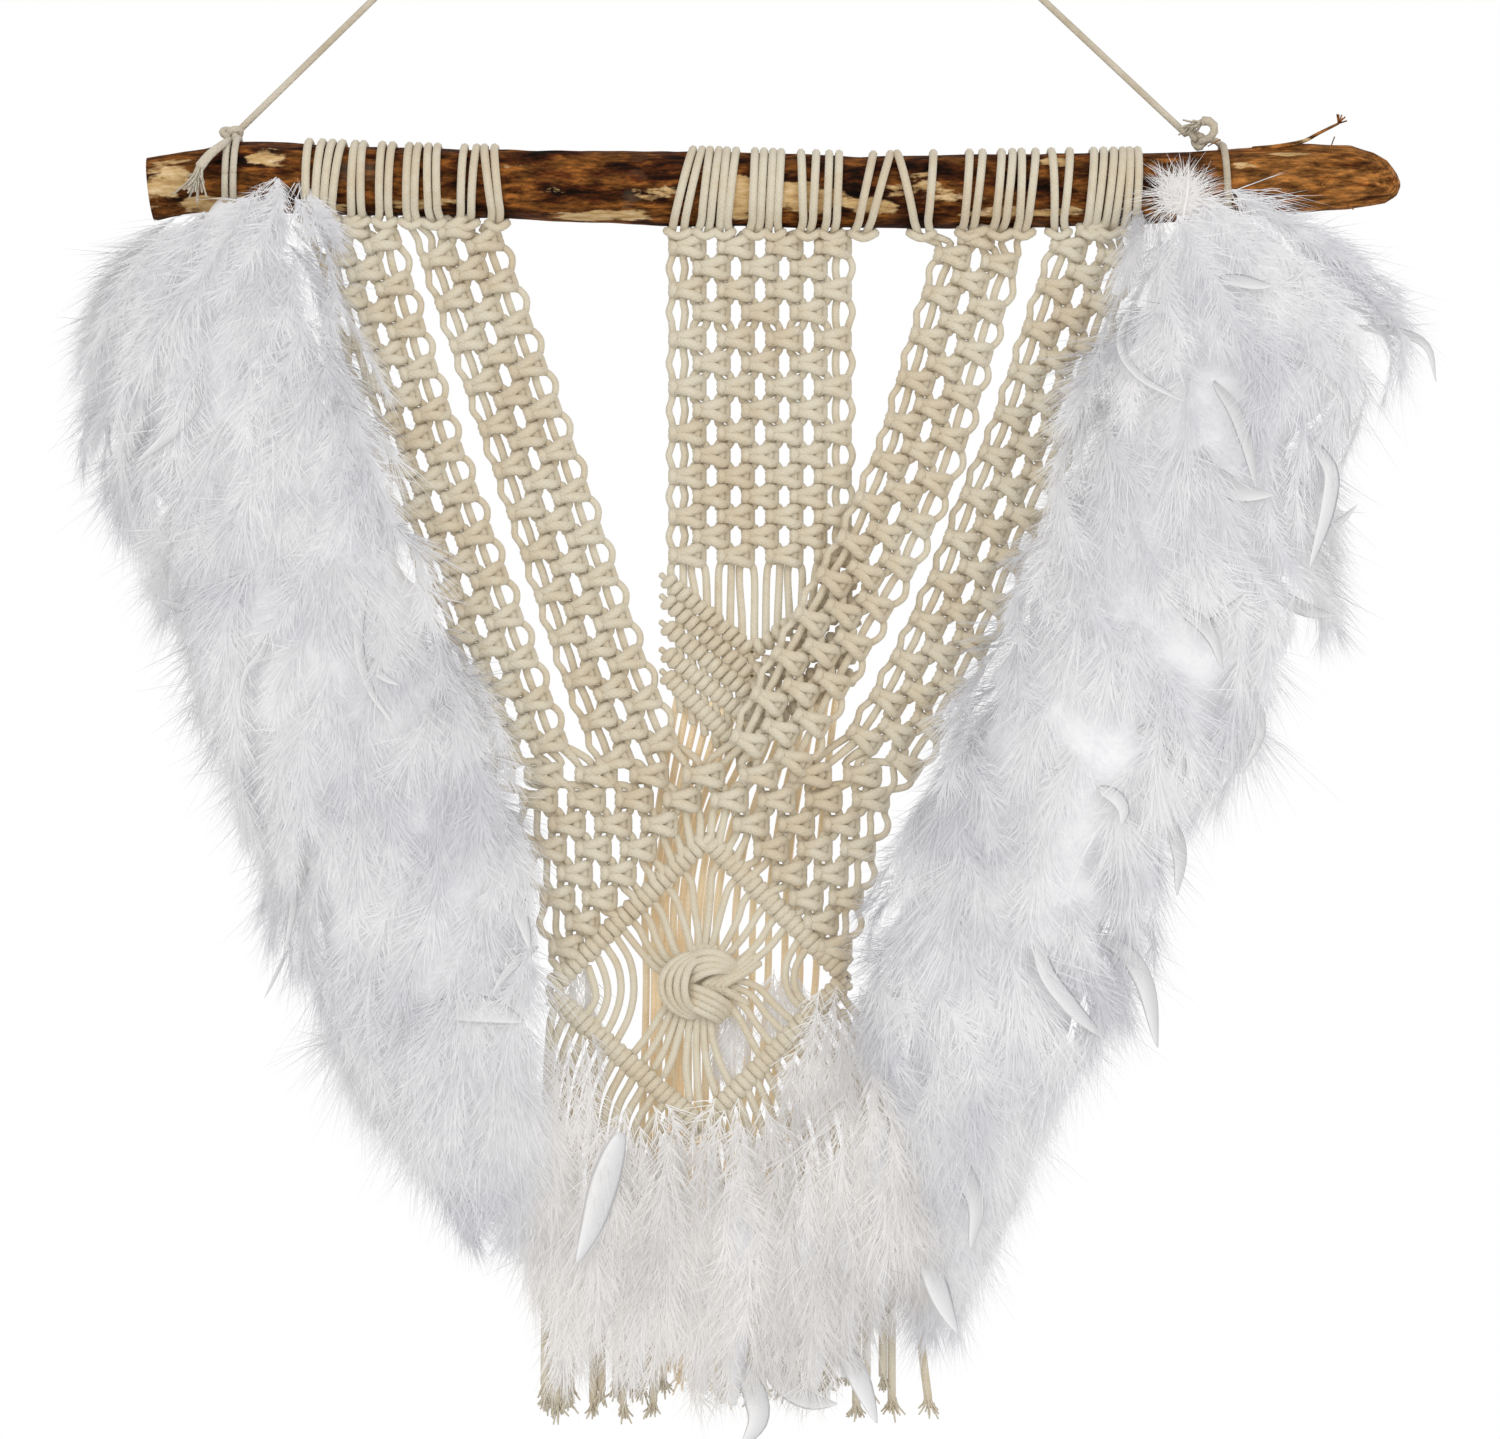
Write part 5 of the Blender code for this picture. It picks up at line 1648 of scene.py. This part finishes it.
@dataclass
class DownBody:
    """A mass of downy feathers that lie over one another like shingles on a soft core."""

    sections: tuple[Section, ...]
    feathers: int
    barbs: int
    fall: tuple[float, float] = (30.0, 62.0)
    barb_length: tuple[float, float] = (16.0, 30.0)
    front_share: float = 0.72
    outward: float = 0.0
    core_size: float = 0.84
    core_start: float = 4.0
    core_rings: tuple[int, int] = (90, 30)
    lumps: float = 0.06

    def section(self, drop: Array) -> tuple[Array, Array, Array, Array]:
        """The body's section at drops.

        Args:
            drop: Millimetres below the nail.

        Returns:
            Its middle x and y and its half sizes in x and y.
        """
        drops = [cut.drop for cut in self.sections]
        left, right, front, back = (np.interp(drop, drops, [getattr(cut, key) for cut in self.sections])
                                    for key in ("left", "right", "front", "back"))
        return (left + right) / 2, (front + back) / 2, (right - left) / 2, (back - front) / 2

    def at(self, drop: Array, turn: Array, size: Array) -> tuple[Array, Array]:
        """Points of the body and the way outwards there.

        A point is the section's middle plus size times (half width cos a, half depth sin a),
        and a = 90 degrees is the front.

        Args:
            drop: Millimetres below the nail.
            turn: Angle a round the section.
            size: Share of the body's size.

        Returns:
            Points in metres and unit directions.
        """
        x, y, wide, deep = self.section(drop)
        points = np.stack((x + wide * size * np.cos(turn), y - deep * size * np.sin(turn),
                           np.broadcast_to(-drop, np.shape(turn))), axis=-1) * MM
        out = np.stack((np.cos(turn) * deep, -np.sin(turn) * wide, 0.0 * turn), axis=-1)
        return points, unit(out)

    def core(self, surface: Surface, draw: Draw) -> None:
        """The lumpy inner body, its size wavering round it and along it and shrinking at its ends.

        Args:
            surface: Where it goes.
            draw: Seeded random numbers.
        """
        rows, columns = self.core_rings
        first, last = self.sections[0].drop, self.sections[-1].drop
        drop = np.linspace(first + self.core_start, last - 4, rows)[:, None] + np.zeros((1, columns))
        turn = 2 * np.pi * np.arange(columns)[None] / columns + np.zeros((rows, 1))
        phase = draw.uniform(0, 2 * np.pi, 4)
        waves = (np.sin(drop / 11.0 + 2 * turn + phase[0]) + np.sin(drop / 6.1 - 3 * turn + phase[1])
                 + np.sin(drop / 4.3 + 5 * turn + phase[2]) * 0.6)
        ends = np.sin(np.pi * np.linspace(0.015, 0.985, rows)[:, None]) ** 0.3
        points, _ = self.at(drop, turn, self.core_size * ends * (1 + self.lumps * waves))
        surface.grid(points)

    def feather(self, surface: Surface, draw: Draw, along: float, turn: float,
                reach: float) -> None:
        """One feather from inside the body to its skin, with barbs that lie along it.

        A barb starts on the shaft and leaves it at a small slant, and is drawn on along it.

        Args:
            surface: Where it goes.
            draw: Seeded random numbers.
            along: Share of the body's height at which it starts.
            turn: Angle round the section at which it starts.
            reach: Size at which its tip ends, as a share of the body's.
        """
        first, last = self.sections[0].drop, self.sections[-1].drop
        fall = draw.uniform(*self.fall)
        drop = first - 4 + along * (last + 4 - first - fall * 0.75)
        towards = np.pi if self.outward < 0 else 0.0
        aim = turn + (towards - turn) * abs(self.outward) * draw.uniform(0.3, 1.0)
        share = np.array([0.0, 0.3, 0.65, 1.0])
        drops = np.minimum(drop + fall * share ** 1.3, last + 6.0 * share)
        turns = turn + (aim - turn) * share + draw.uniform(-0.15, 0.15)
        sizes = draw.uniform(0.55, 0.75) + (reach - 0.65) * share ** 0.7
        control, _ = self.at(drops, turns, sizes)
        line = smooth(control, 0.003)
        steps = len(line)
        number = self.barbs
        share = draw.uniform(0.0, 1.0, number) ** 0.9
        at = share * (steps - 1)
        low_step = np.minimum(at.astype(int), steps - 2)
        mix = (at - low_step)[:, None]
        root = line[low_step] * (1 - mix) + line[low_step + 1] * mix
        tangent = unit(np.gradient(line, axis=0))[low_step]
        _, out = self.at(np.interp(share, (0, 1), (drops[0], drops[-1])),
                         np.interp(share, (0, 1), (turns[0], turns[-1])), np.ones(number))
        out = unit(out + draw.normal(0, 0.10, 3))
        across = unit(np.cross(tangent, out))
        slant = draw.normal(0, 0.72, number)[:, None]
        way = unit(tangent * 0.85 + across * slant + out * draw.uniform(-0.05, 0.18, (number, 1))
                   + draw.normal(0, 0.20, (number, 3)))
        length = draw.uniform(*self.barb_length) * MM * draw.uniform(0.5, 1.15, number)
        length *= 1.05 - 0.45 * share
        bend = (tangent * 0.35 + draw.normal(0, 0.16, 3) + draw.normal(0, 0.24, (number, 3))
                - np.array([0.0, 0.0, 0.16])) * length[:, None]
        facing = unit(out + TOWARDS_VIEWER * np.where(out[:, 1:2] < 0.2, 0.5, 0.0))
        surface.ribbons(root, way, length, bend, draw.uniform(0.00024, 0.0005, number), facing)

    def grow(self, surface: Surface, draw: Draw) -> None:
        """Add the feathers all round, and more at both rims.

        Feather k starts at the fractions of k times two steps, which spread the feathers evenly.

        Args:
            surface: Where they go.
            draw: Seeded random numbers.
        """
        front = int(self.feathers * self.front_share)
        for k in range(self.feathers):
            along, around = (k * EVEN_STEPS[0]) % 1.0, (k * EVEN_STEPS[1]) % 1.0
            turn = 0.05 + around * (np.pi - 0.1) if k < front else np.pi * (1 + around)
            self.feather(surface, draw, along, turn, draw.uniform(0.92, 1.02))
        if self.outward:
            outer, inner = (np.pi, 0.0) if self.outward < 0 else (0.0, np.pi)
            for rim, share, reach in ((outer, 0.2, (0.98, 1.1)), (inner, 0.22, (0.84, 1.0))):
                for _ in range(int(self.feathers * share)):
                    along, turn = draw.uniform(), rim + draw.uniform(-0.35, 0.35)
                    self.feather(surface, draw, along, turn, draw.uniform(*reach))


def cuts(*rows: tuple[float, ...]) -> tuple[Section, ...]:
    """Sections from rows of their five measures."""
    return tuple(Section(*row) for row in rows)


TRIM_LEFT = DownBody(cuts(
    (246, -252, -184, -20, 8), (262, -262, -180, -34, 12), (285, -280, -172, -46, 15),
    (320, -288, -161, -56, 16), (360, -287, -148, -60, 16), (390, -280, -132, -60, 16),
    (420, -264, -124, -60, 16), (444, -258, -117, -60, 16), (500, -236, -97, -60, 15),
    (530, -224, -86, -58, 15), (573, -203, -73, -56, 15), (612, -196, -70, -52, 14),
    (655, -172, -72, -48, 13), (690, -152, -75, -42, 12), (720, -128, -77, -34, 10),
    (745, -110, -82, -22, 8)), 178, 255, outward=-0.35, core_size=0.76)
TRIM_RIGHT = DownBody(cuts(
    (246, 206, 262, -22, 8), (262, 206, 282, -34, 12), (285, 200, 318, -46, 15),
    (320, 188, 340, -54, 16), (350, 176, 322, -60, 16), (380, 162, 300, -60, 16),
    (415, 152, 294, -61, 16), (448, 138, 300, -61, 16), (480, 128, 282, -60, 16),
    (511, 114, 264, -60, 15), (552, 92, 228, -58, 15), (600, 76, 208, -56, 14),
    (640, 74, 202, -52, 13), (676, 86, 168, -46, 12), (729, 96, 148, -36, 10),
    (785, 106, 122, -16, 6)), 178, 255, outward=0.35, core_size=0.76)
TRIM_LEFT_TOP = DownBody(cuts((244, -216, -182, -20, 4), (275, -212, -168, -30, 6)), 13, 120,
                         fall=(14.0, 26.0), barb_length=(10.0, 18.0), front_share=1.0)


@dataclass
class FeatherTrims:
    """The feathers along both outer straps."""

    down: Material
    under: Material

    def build(self) -> None:
        """Make the left and the right trim, each with its soft core."""
        for side, body, seed in (("left", TRIM_LEFT, 21), ("right", TRIM_RIGHT, 22)):
            draw = np.random.default_rng(seed)
            surface, core = Surface(), Surface()
            body.core(core, draw)
            body.grow(surface, draw)
            if body is TRIM_LEFT:
                TRIM_LEFT_TOP.grow(surface, draw)
            node = f"feather_trim_{side}"
            hand_over(surface.build(node + "_down", self.down), "feathers", node)
            hand_over(core.build(node + "_core", self.under), "feathers")


@dataclass
class FeatherFringe:
    """Loose plumes that hang before the fringe, and a small one on the branch."""

    down: Material
    under: Material
    # Each plume's middle across, top, bottom, width and front depth in chart units and mm.
    plumes: tuple[tuple[float, float, float, float, float], ...] = (
        (548, 1110, 1290, 46, -22), (566, 1170, 1380, 52, -22), (606, 1130, 1340, 66, -34),
        (640, 1150, 1392, 60, -30), (672, 1140, 1350, 50, -38), (702, 1150, 1398, 58, -32),
        (738, 1120, 1408, 62, -42), (778, 1150, 1390, 56, -34), (812, 1130, 1402, 66, -44),
        (846, 1090, 1380, 64, -44), (878, 1060, 1330, 64, -46), (900, 1120, 1290, 58, -40),
        (925, 1160, 1280, 46, -34),
    )
    quill: Course = ((1184, 176, -25), (1183, 195, -26), (1180, 215, -24), (1176, 240, -20))
    # Shares of a plume's height and of its full size there.
    plume_form: tuple[tuple[float, float], ...] = (
        (0.0, 0.35), (0.15, 0.75), (0.45, 1.0), (0.75, 0.9), (1.0, 0.45))
    # Thin down without a core: left, right, top and bottom, front depth, feathers.
    veils: tuple[tuple[float, float, float, float, float, int], ...] = (
        (545, 600, 1040, 1170, -14, 14), (806, 876, 990, 1110, -14, 20), (590, 680, 1110, 1180, -16, 10),
        (690, 800, 1100, 1190, -18, 14), (780, 850, 1050, 1130, -14, 14), (716, 748, 1004, 1072, 2, 9),
        (762, 800, 972, 1020, 2, 7), (566, 588, 976, 1004, 2, 4),
    )

    def build(self) -> None:
        """Make the plumes before the fringe, and the tuft on the branch."""
        draw = np.random.default_rng(29)
        surface, core = Surface(), Surface()
        for across, top, bottom, width, front in self.plumes:
            middle, half = float(chart(across, 0.0)[0]) / MM, width * UNIT / MM / 2
            rows = []
            for share, size in self.plume_form:
                sway = draw.uniform(-3, 3)
                drop = (top + (bottom - top) * share - DOWN_ZERO) * UNIT / MM
                rows.append((drop, middle + sway - half * size, middle + sway + half * size,
                             front * (0.45 + 0.55 * size), -8.0))
            body = DownBody(cuts(*rows), 16, 127, fall=(34.0, 60.0), barb_length=(16.0, 26.0),
                            front_share=0.8, core_size=0.55, core_start=26.0, core_rings=(36, 14))
            body.core(core, draw)
            body.grow(surface, draw)
        for left, right, top, bottom, front, feathers in self.veils:
            corners = chart(np.array((left, right)), np.array((top, bottom))) / MM
            rows = [(drop, *corners[:, 0], front, front + 6.0) for drop in -corners[:, 2]]
            veil = DownBody(cuts(*rows), feathers, 60, fall=(20.0, 34.0), barb_length=(10.0, 18.0),
                            front_share=1.0)
            veil.grow(surface, draw)
        hand_over(surface.build("feather_fringe_down", self.down), "feathers", "feather_fringe")
        hand_over(core.build("feather_fringe_core", self.under), "feathers")
        self.tuft(draw)

    def tuft(self, draw: Draw) -> None:
        """A small open feather on the branch: long fine barbs all round a quill's tip.

        Args:
            draw: Seeded random numbers.
        """
        surface = Surface()
        number = 700
        root = chart(1178.0, 204.0, -20.0) + draw.normal(0, 1, (number, 3)) * [0.003, 0.0012, 0.003]
        turn = draw.normal(0.0, 1.05, number)
        way = unit(np.stack((np.sin(turn), draw.uniform(-0.7, 0.1, number), np.cos(turn)), 1))
        length = draw.uniform(0.008, 0.026, number)
        bend = (np.array([0.0, 0.0, -0.2]) + draw.normal(0, 0.12, (number, 3))) * length[:, None]
        surface.ribbons(root, way, length, bend, draw.uniform(0.0002, 0.00036, number),
                        np.broadcast_to(TOWARDS_VIEWER, (number, 3)))
        quill = smooth(on_chart(self.quill), 0.003)
        surface.sweep(quill, np.linspace(0.0005, 0.0008, len(quill)), 6)
        hand_over(surface.build("branch_feather_tuft", self.down), "feathers")


@dataclass(frozen=True)
class StiffTip:
    """A stiff pointed feather end: its shaft's course on the chart and its width in millimetres.

    Its depth is that of the down's front where it lies on a trim, or the given one elsewhere.
    """

    course: tuple[tuple[float, float], ...]
    width: float
    roll: float = 25.0          # degrees by which the vane is turned about its shaft
    depth: float | None = None


@dataclass
class StiffTips:
    """The smooth pointed ends of firmer feathers that stand out from the fluff."""

    vane: Material
    rise: tuple[float, float] = (-9.0, 6.0)     # from the down's front, at the root and at the tip
    ring: int = 8
    lop: float = 0.2            # one side of a vane is wider than the other
    cup: float = 0.13
    thickness: float = 0.00012
    tips: tuple[StiffTip, ...] = tuple(StiffTip(*tip) for tip in (
        (((212, 372), (208, 412), (188, 439), (148, 470)), 9, 35),
        (((158, 416), (150, 438), (137, 460), (110, 488)), 4.5, 20, -30),
        (((164, 310), (146, 342), (144, 382), (148, 420)), 4, 20, -26),
        (((117, 364), (112, 402), (115, 436), (120, 464)), 3.5, 20, -24),
        (((288, 360), (294, 384), (298, 400), (303, 413)), 2.4, 30),
        (((186, 506), (170, 540), (164, 566), (161, 588)), 6, -30),
        (((206, 558), (203, 590), (192, 610), (169, 602)), 8, 30, -34),
        (((283, 620), (274, 654), (258, 674), (252, 702)), 5, 35),
        (((374, 592), (368, 642), (380, 690), (403, 724)), 6, -40),
        (((374, 655), (384, 670), (396, 680), (408, 686)), 5, -30),
        (((325, 844), (306, 878), (298, 920), (293, 948)), 5, 30, -34),
        (((292, 948), (284, 966), (276, 984), (271, 994)), 2, 20, -26),
        (((524, 870), (524, 905), (530, 928), (534, 946)), 8, -30),
        (((540, 944), (522, 958), (508, 974), (498, 989)), 6, 35),
        (((436, 1004), (468, 1000), (498, 1004), (528, 1016)), 15, -25),
        (((416, 966), (411, 992), (404, 1020), (396, 1046)), 8, 35),
        (((1126, 312), (1116, 350), (1131, 382), (1172, 410)), 6, -35),
        (((1204, 388), (1224, 416), (1236, 450), (1244, 496)), 8, 40),
        (((1186, 462), (1208, 482), (1230, 496), (1262, 500)), 12, 30),
        (((1212, 284), (1230, 288), (1246, 293), (1262, 296)), 8, -30),
        (((1258, 298), (1276, 292), (1290, 282), (1299, 268)), 2.4, 20),
        (((1256, 362), (1302, 378), (1332, 406), (1339, 444)), 6, 35),
        (((1300, 440), (1322, 474), (1318, 512), (1298, 572)), 9, -30, -44),
        (((1336, 330), (1392, 334), (1420, 350), (1427, 386)), 5, 30, -26),
        (((1312, 540), (1324, 530), (1336, 520), (1348, 508)), 4, 20, -30),
        (((1264, 590), (1286, 602), (1306, 612), (1327, 617)), 8, 25, -30),
        (((1160, 606), (1184, 618), (1202, 638), (1211, 670)), 8, 35),
        (((1190, 630), (1206, 622), (1220, 610), (1234, 596)), 6, -25),
        (((1226, 660), (1248, 696), (1254, 732), (1234, 772)), 6, 25, -36),
        (((1186, 740), (1200, 752), (1214, 752), (1223, 738)), 4, 25, -34),
        (((1128, 728), (1154, 732), (1170, 748), (1173, 782)), 10, 35),
        (((1090, 786), (1108, 794), (1116, 808), (1112, 824)), 8, -25),
        (((1134, 800), (1162, 818), (1174, 850), (1169, 892)), 9, 30, -40),
        (((1032, 926), (1040, 964), (1064, 998), (1100, 1034)), 11, -40),
        (((1092, 930), (1126, 952), (1142, 982), (1151, 1042)), 10, 25, -34),
        (((624, 1128), (610, 1176), (596, 1220), (580, 1254)), 14, 12, -37),
        (((940, 1120), (962, 1164), (974, 1196), (966, 1240)), 11, 30, -44),
        (((922, 1232), (934, 1272), (944, 1300), (954, 1322)), 12, -25, -38),
        (((742, 1356), (758, 1388), (760, 1412), (742, 1437)), 12, 12, -30),
        (((832, 1326), (854, 1358), (866, 1386), (875, 1412)), 11, -12, -32),
        (((764, 1336), (784, 1372), (808, 1390), (836, 1394)), 12, 12, -28),
    ))

    def line(self, tip: StiffTip) -> Array:
        """The shaft, which rises out of the down towards its tip.

        Args:
            tip: The feather end.

        Returns:
            Points along it.
        """
        across, down = np.array(tip.course, float).T
        depth = self.front(across, down) if tip.depth is None else np.full(len(across), tip.depth, float)
        rise = np.linspace(*self.rise, len(across))
        return smooth(chart(across, down, np.maximum(depth - rise, VANE_FRONT)), 0.0036)

    @staticmethod
    def front(across: Array, down: Array) -> Array:
        """The trims' front: the front half of the section's oval at a place.

        Args:
            across: Places across.
            down: Places down.

        Returns:
            Depths in millimetres.
        """
        x, drop = (across - ACROSS_ZERO) * UNIT / MM, (down - DOWN_ZERO) * UNIT / MM
        body = TRIM_LEFT if x.mean() < 0 else TRIM_RIGHT
        middle, depth, wide, deep = body.section(drop)
        away = np.clip((x - middle) / wide, -0.97, 0.97)
        return depth - deep * np.sqrt(1.0 - away ** 2)

    def build(self) -> None:
        """Make each vane with its shaft.

        At share s of the shaft the vane's half width is that of its widest place times a sine
        that rises quickly and runs out to a point.  A point of its thin oval section is half
        width * (cos a + lop) to the side and thickness * sin a - cup * half width * cos a squared
        to the back, so both edges bend to the front.
        """
        surface = Surface()
        angle = 2 * np.pi * np.arange(self.ring) / self.ring
        for tip in self.tips:
            line = self.line(tip)
            tangent = unit(np.gradient(line, axis=0))
            level = unit(np.cross(tangent, TOWARDS_VIEWER))
            behind = np.cross(tangent, level)
            roll = np.radians(tip.roll)
            side = level * np.cos(roll) + behind * np.sin(roll)
            back = behind * np.cos(roll) - level * np.sin(roll)
            share = np.linspace(0.0, 1.0, len(line))[:, None]
            half = tip.width * MM / 2 * np.sin(np.pi * (0.06 + 0.93 * share ** 0.85)) ** 0.75
            across = half * (np.cos(angle) + self.lop)
            high = self.thickness * np.sin(angle) - self.cup * half * np.cos(angle) ** 2
            surface.grid(line[:, None] + across[..., None] * side[:, None] + high[..., None] * back[:, None])
            surface.sweep(line + back * 0.0002, np.linspace(0.0005, 0.00015, len(line)), 5)
        hand_over(surface.build("stiff_feather_tips", self.vane), "feathers")


# ------------------------------------------------------------------ studio
@dataclass(frozen=True)
class Lamp:
    """A square soft light: its place, size, power in watts and tint."""

    name: str
    place: tuple[float, float, float]
    size: float
    power: float
    tint: Color

    def hang(self, aim: Array) -> None:
        """Put it up.

        Args:
            aim: The point at which it shines.
        """
        light = bpy.data.lights.new(self.name, "AREA")
        light.shape, light.size, light.energy, light.color = "SQUARE", self.size, self.power, self.tint
        made = bpy.data.objects.new(self.name, light)
        bpy.context.scene.collection.objects.link(made)
        made.location = self.place
        made.rotation_euler = Vector(aim - np.array(self.place)).to_track_quat("-Z", "Y").to_euler()


@dataclass
class Studio:
    """Pale floor, soft lights and the camera straight before the hanging."""

    middle: tuple[float, float] = (0.02352, -0.50088)
    distance: float = 2.4
    view_width: float = 0.72
    sensor: float = 36.0
    floor_level: float = -1.16
    lamps: tuple[Lamp, ...] = (
        Lamp("key", (-1.1, -3.0, 0.9), 2.4, 42.0, (1.0, 0.98, 0.95)),
        Lamp("fill", (1.8, -2.0, 0.0), 1.8, 18.0, (0.96, 0.98, 1.0)),
        Lamp("back", (2.2, 2.6, 0.6), 1.6, 16.0, (1.0, 0.99, 0.97)))

    def floor(self) -> None:
        """Make the floor."""
        surface = Surface()
        corners = [(x, y, self.floor_level) for x, y in ((-2.0, -2.0), (2.0, -2.0), (2.0, 0.9), (-2.0, 0.9))]
        surface.add(np.array(corners), np.arange(4), np.zeros((4, 2)))
        surface.build("studio_floor", PlainFinish("floor_paint").make())

    def surround(self) -> None:
        """Light the scene from all round, and show white behind it."""
        world = bpy.data.worlds.new("white_surround")
        bpy.context.scene.world = world
        world.use_nodes = True
        sheet = NodeSheet(world.node_tree)
        seen = sheet.node("ShaderNodeLightPath").outputs["Is Camera Ray"]
        shown = sheet.mix(seen, (0.66, 0.66, 0.67), (1.0, 1.0, 1.0))
        sheet.fill(world.node_tree.nodes["Background"], {"Color": shown})

    def camera(self) -> None:
        """Set up the camera."""
        data = bpy.data.cameras.new("camera")
        data.sensor_width = self.sensor
        data.lens = self.sensor * self.distance / self.view_width
        data.clip_end = 30.0
        camera = bpy.data.objects.new("camera", data)
        bpy.context.scene.collection.objects.link(camera)
        camera.location = (self.middle[0], -self.distance, self.middle[1])
        camera.rotation_euler = (np.pi / 2, 0.0, 0.0)
        bpy.context.scene.camera = camera

    def build(self) -> None:
        """Make the floor, the white surround, the lights and the camera."""
        bpy.context.scene.view_settings.view_transform = "Standard"
        self.floor()
        self.surround()
        for lamp in self.lamps:
            lamp.hang(np.array([self.middle[0], 0.0, self.middle[1]]))
        self.camera()


def main() -> None:
    """Build every piece in order, from the branch down to the feathers."""
    logging.basicConfig(level=logging.INFO, format="%(message)s")
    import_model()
    Studio().build()
    braid_group()
    drift_group()
    cotton = CottonFinish("braided_cotton", (0.615, 0.56, 0.44), (0.55, 0.465, 0.33), painted_glow=0.10).make()
    # painted light: the tails behind the net, which lie in shade, get a lighter copy of the cotton with a
    # stronger painted glow
    shaded = CottonFinish("cotton_painted_lighter", (0.84, 0.72, 0.52), (0.78, 0.62, 0.41), painted_glow=0.18).make()
    fine_cotton = CottonFinish("hanger_cotton_cord", (0.60, 0.54, 0.43), (0.47, 0.40, 0.29), 4.0, 1.2).make()
    bark = BarkFinish("driftwood_bark").make()
    down = DownFinish("feather_down").make()
    warm_down = DownFinish("fringe_down", (0.69, 0.675, 0.66), (0.585, 0.572, 0.562)).make()
    under = DownFinish("feather_under_down", (0.68, 0.675, 0.68), (0.58, 0.58, 0.60), 60.0).make()
    vane = VaneFinish("feather_vane").make()
    BRANCH.build(bark)
    Hanger(fine_cotton).build()
    KnottedWork(cotton).build()
    CentrePanel(cotton, shaded).build()
    FeatherTrims(down, under).build()
    FeatherFringe(warm_down, under).build()
    StiffTips(vane).build()


if __name__ == "__main__":
    main()
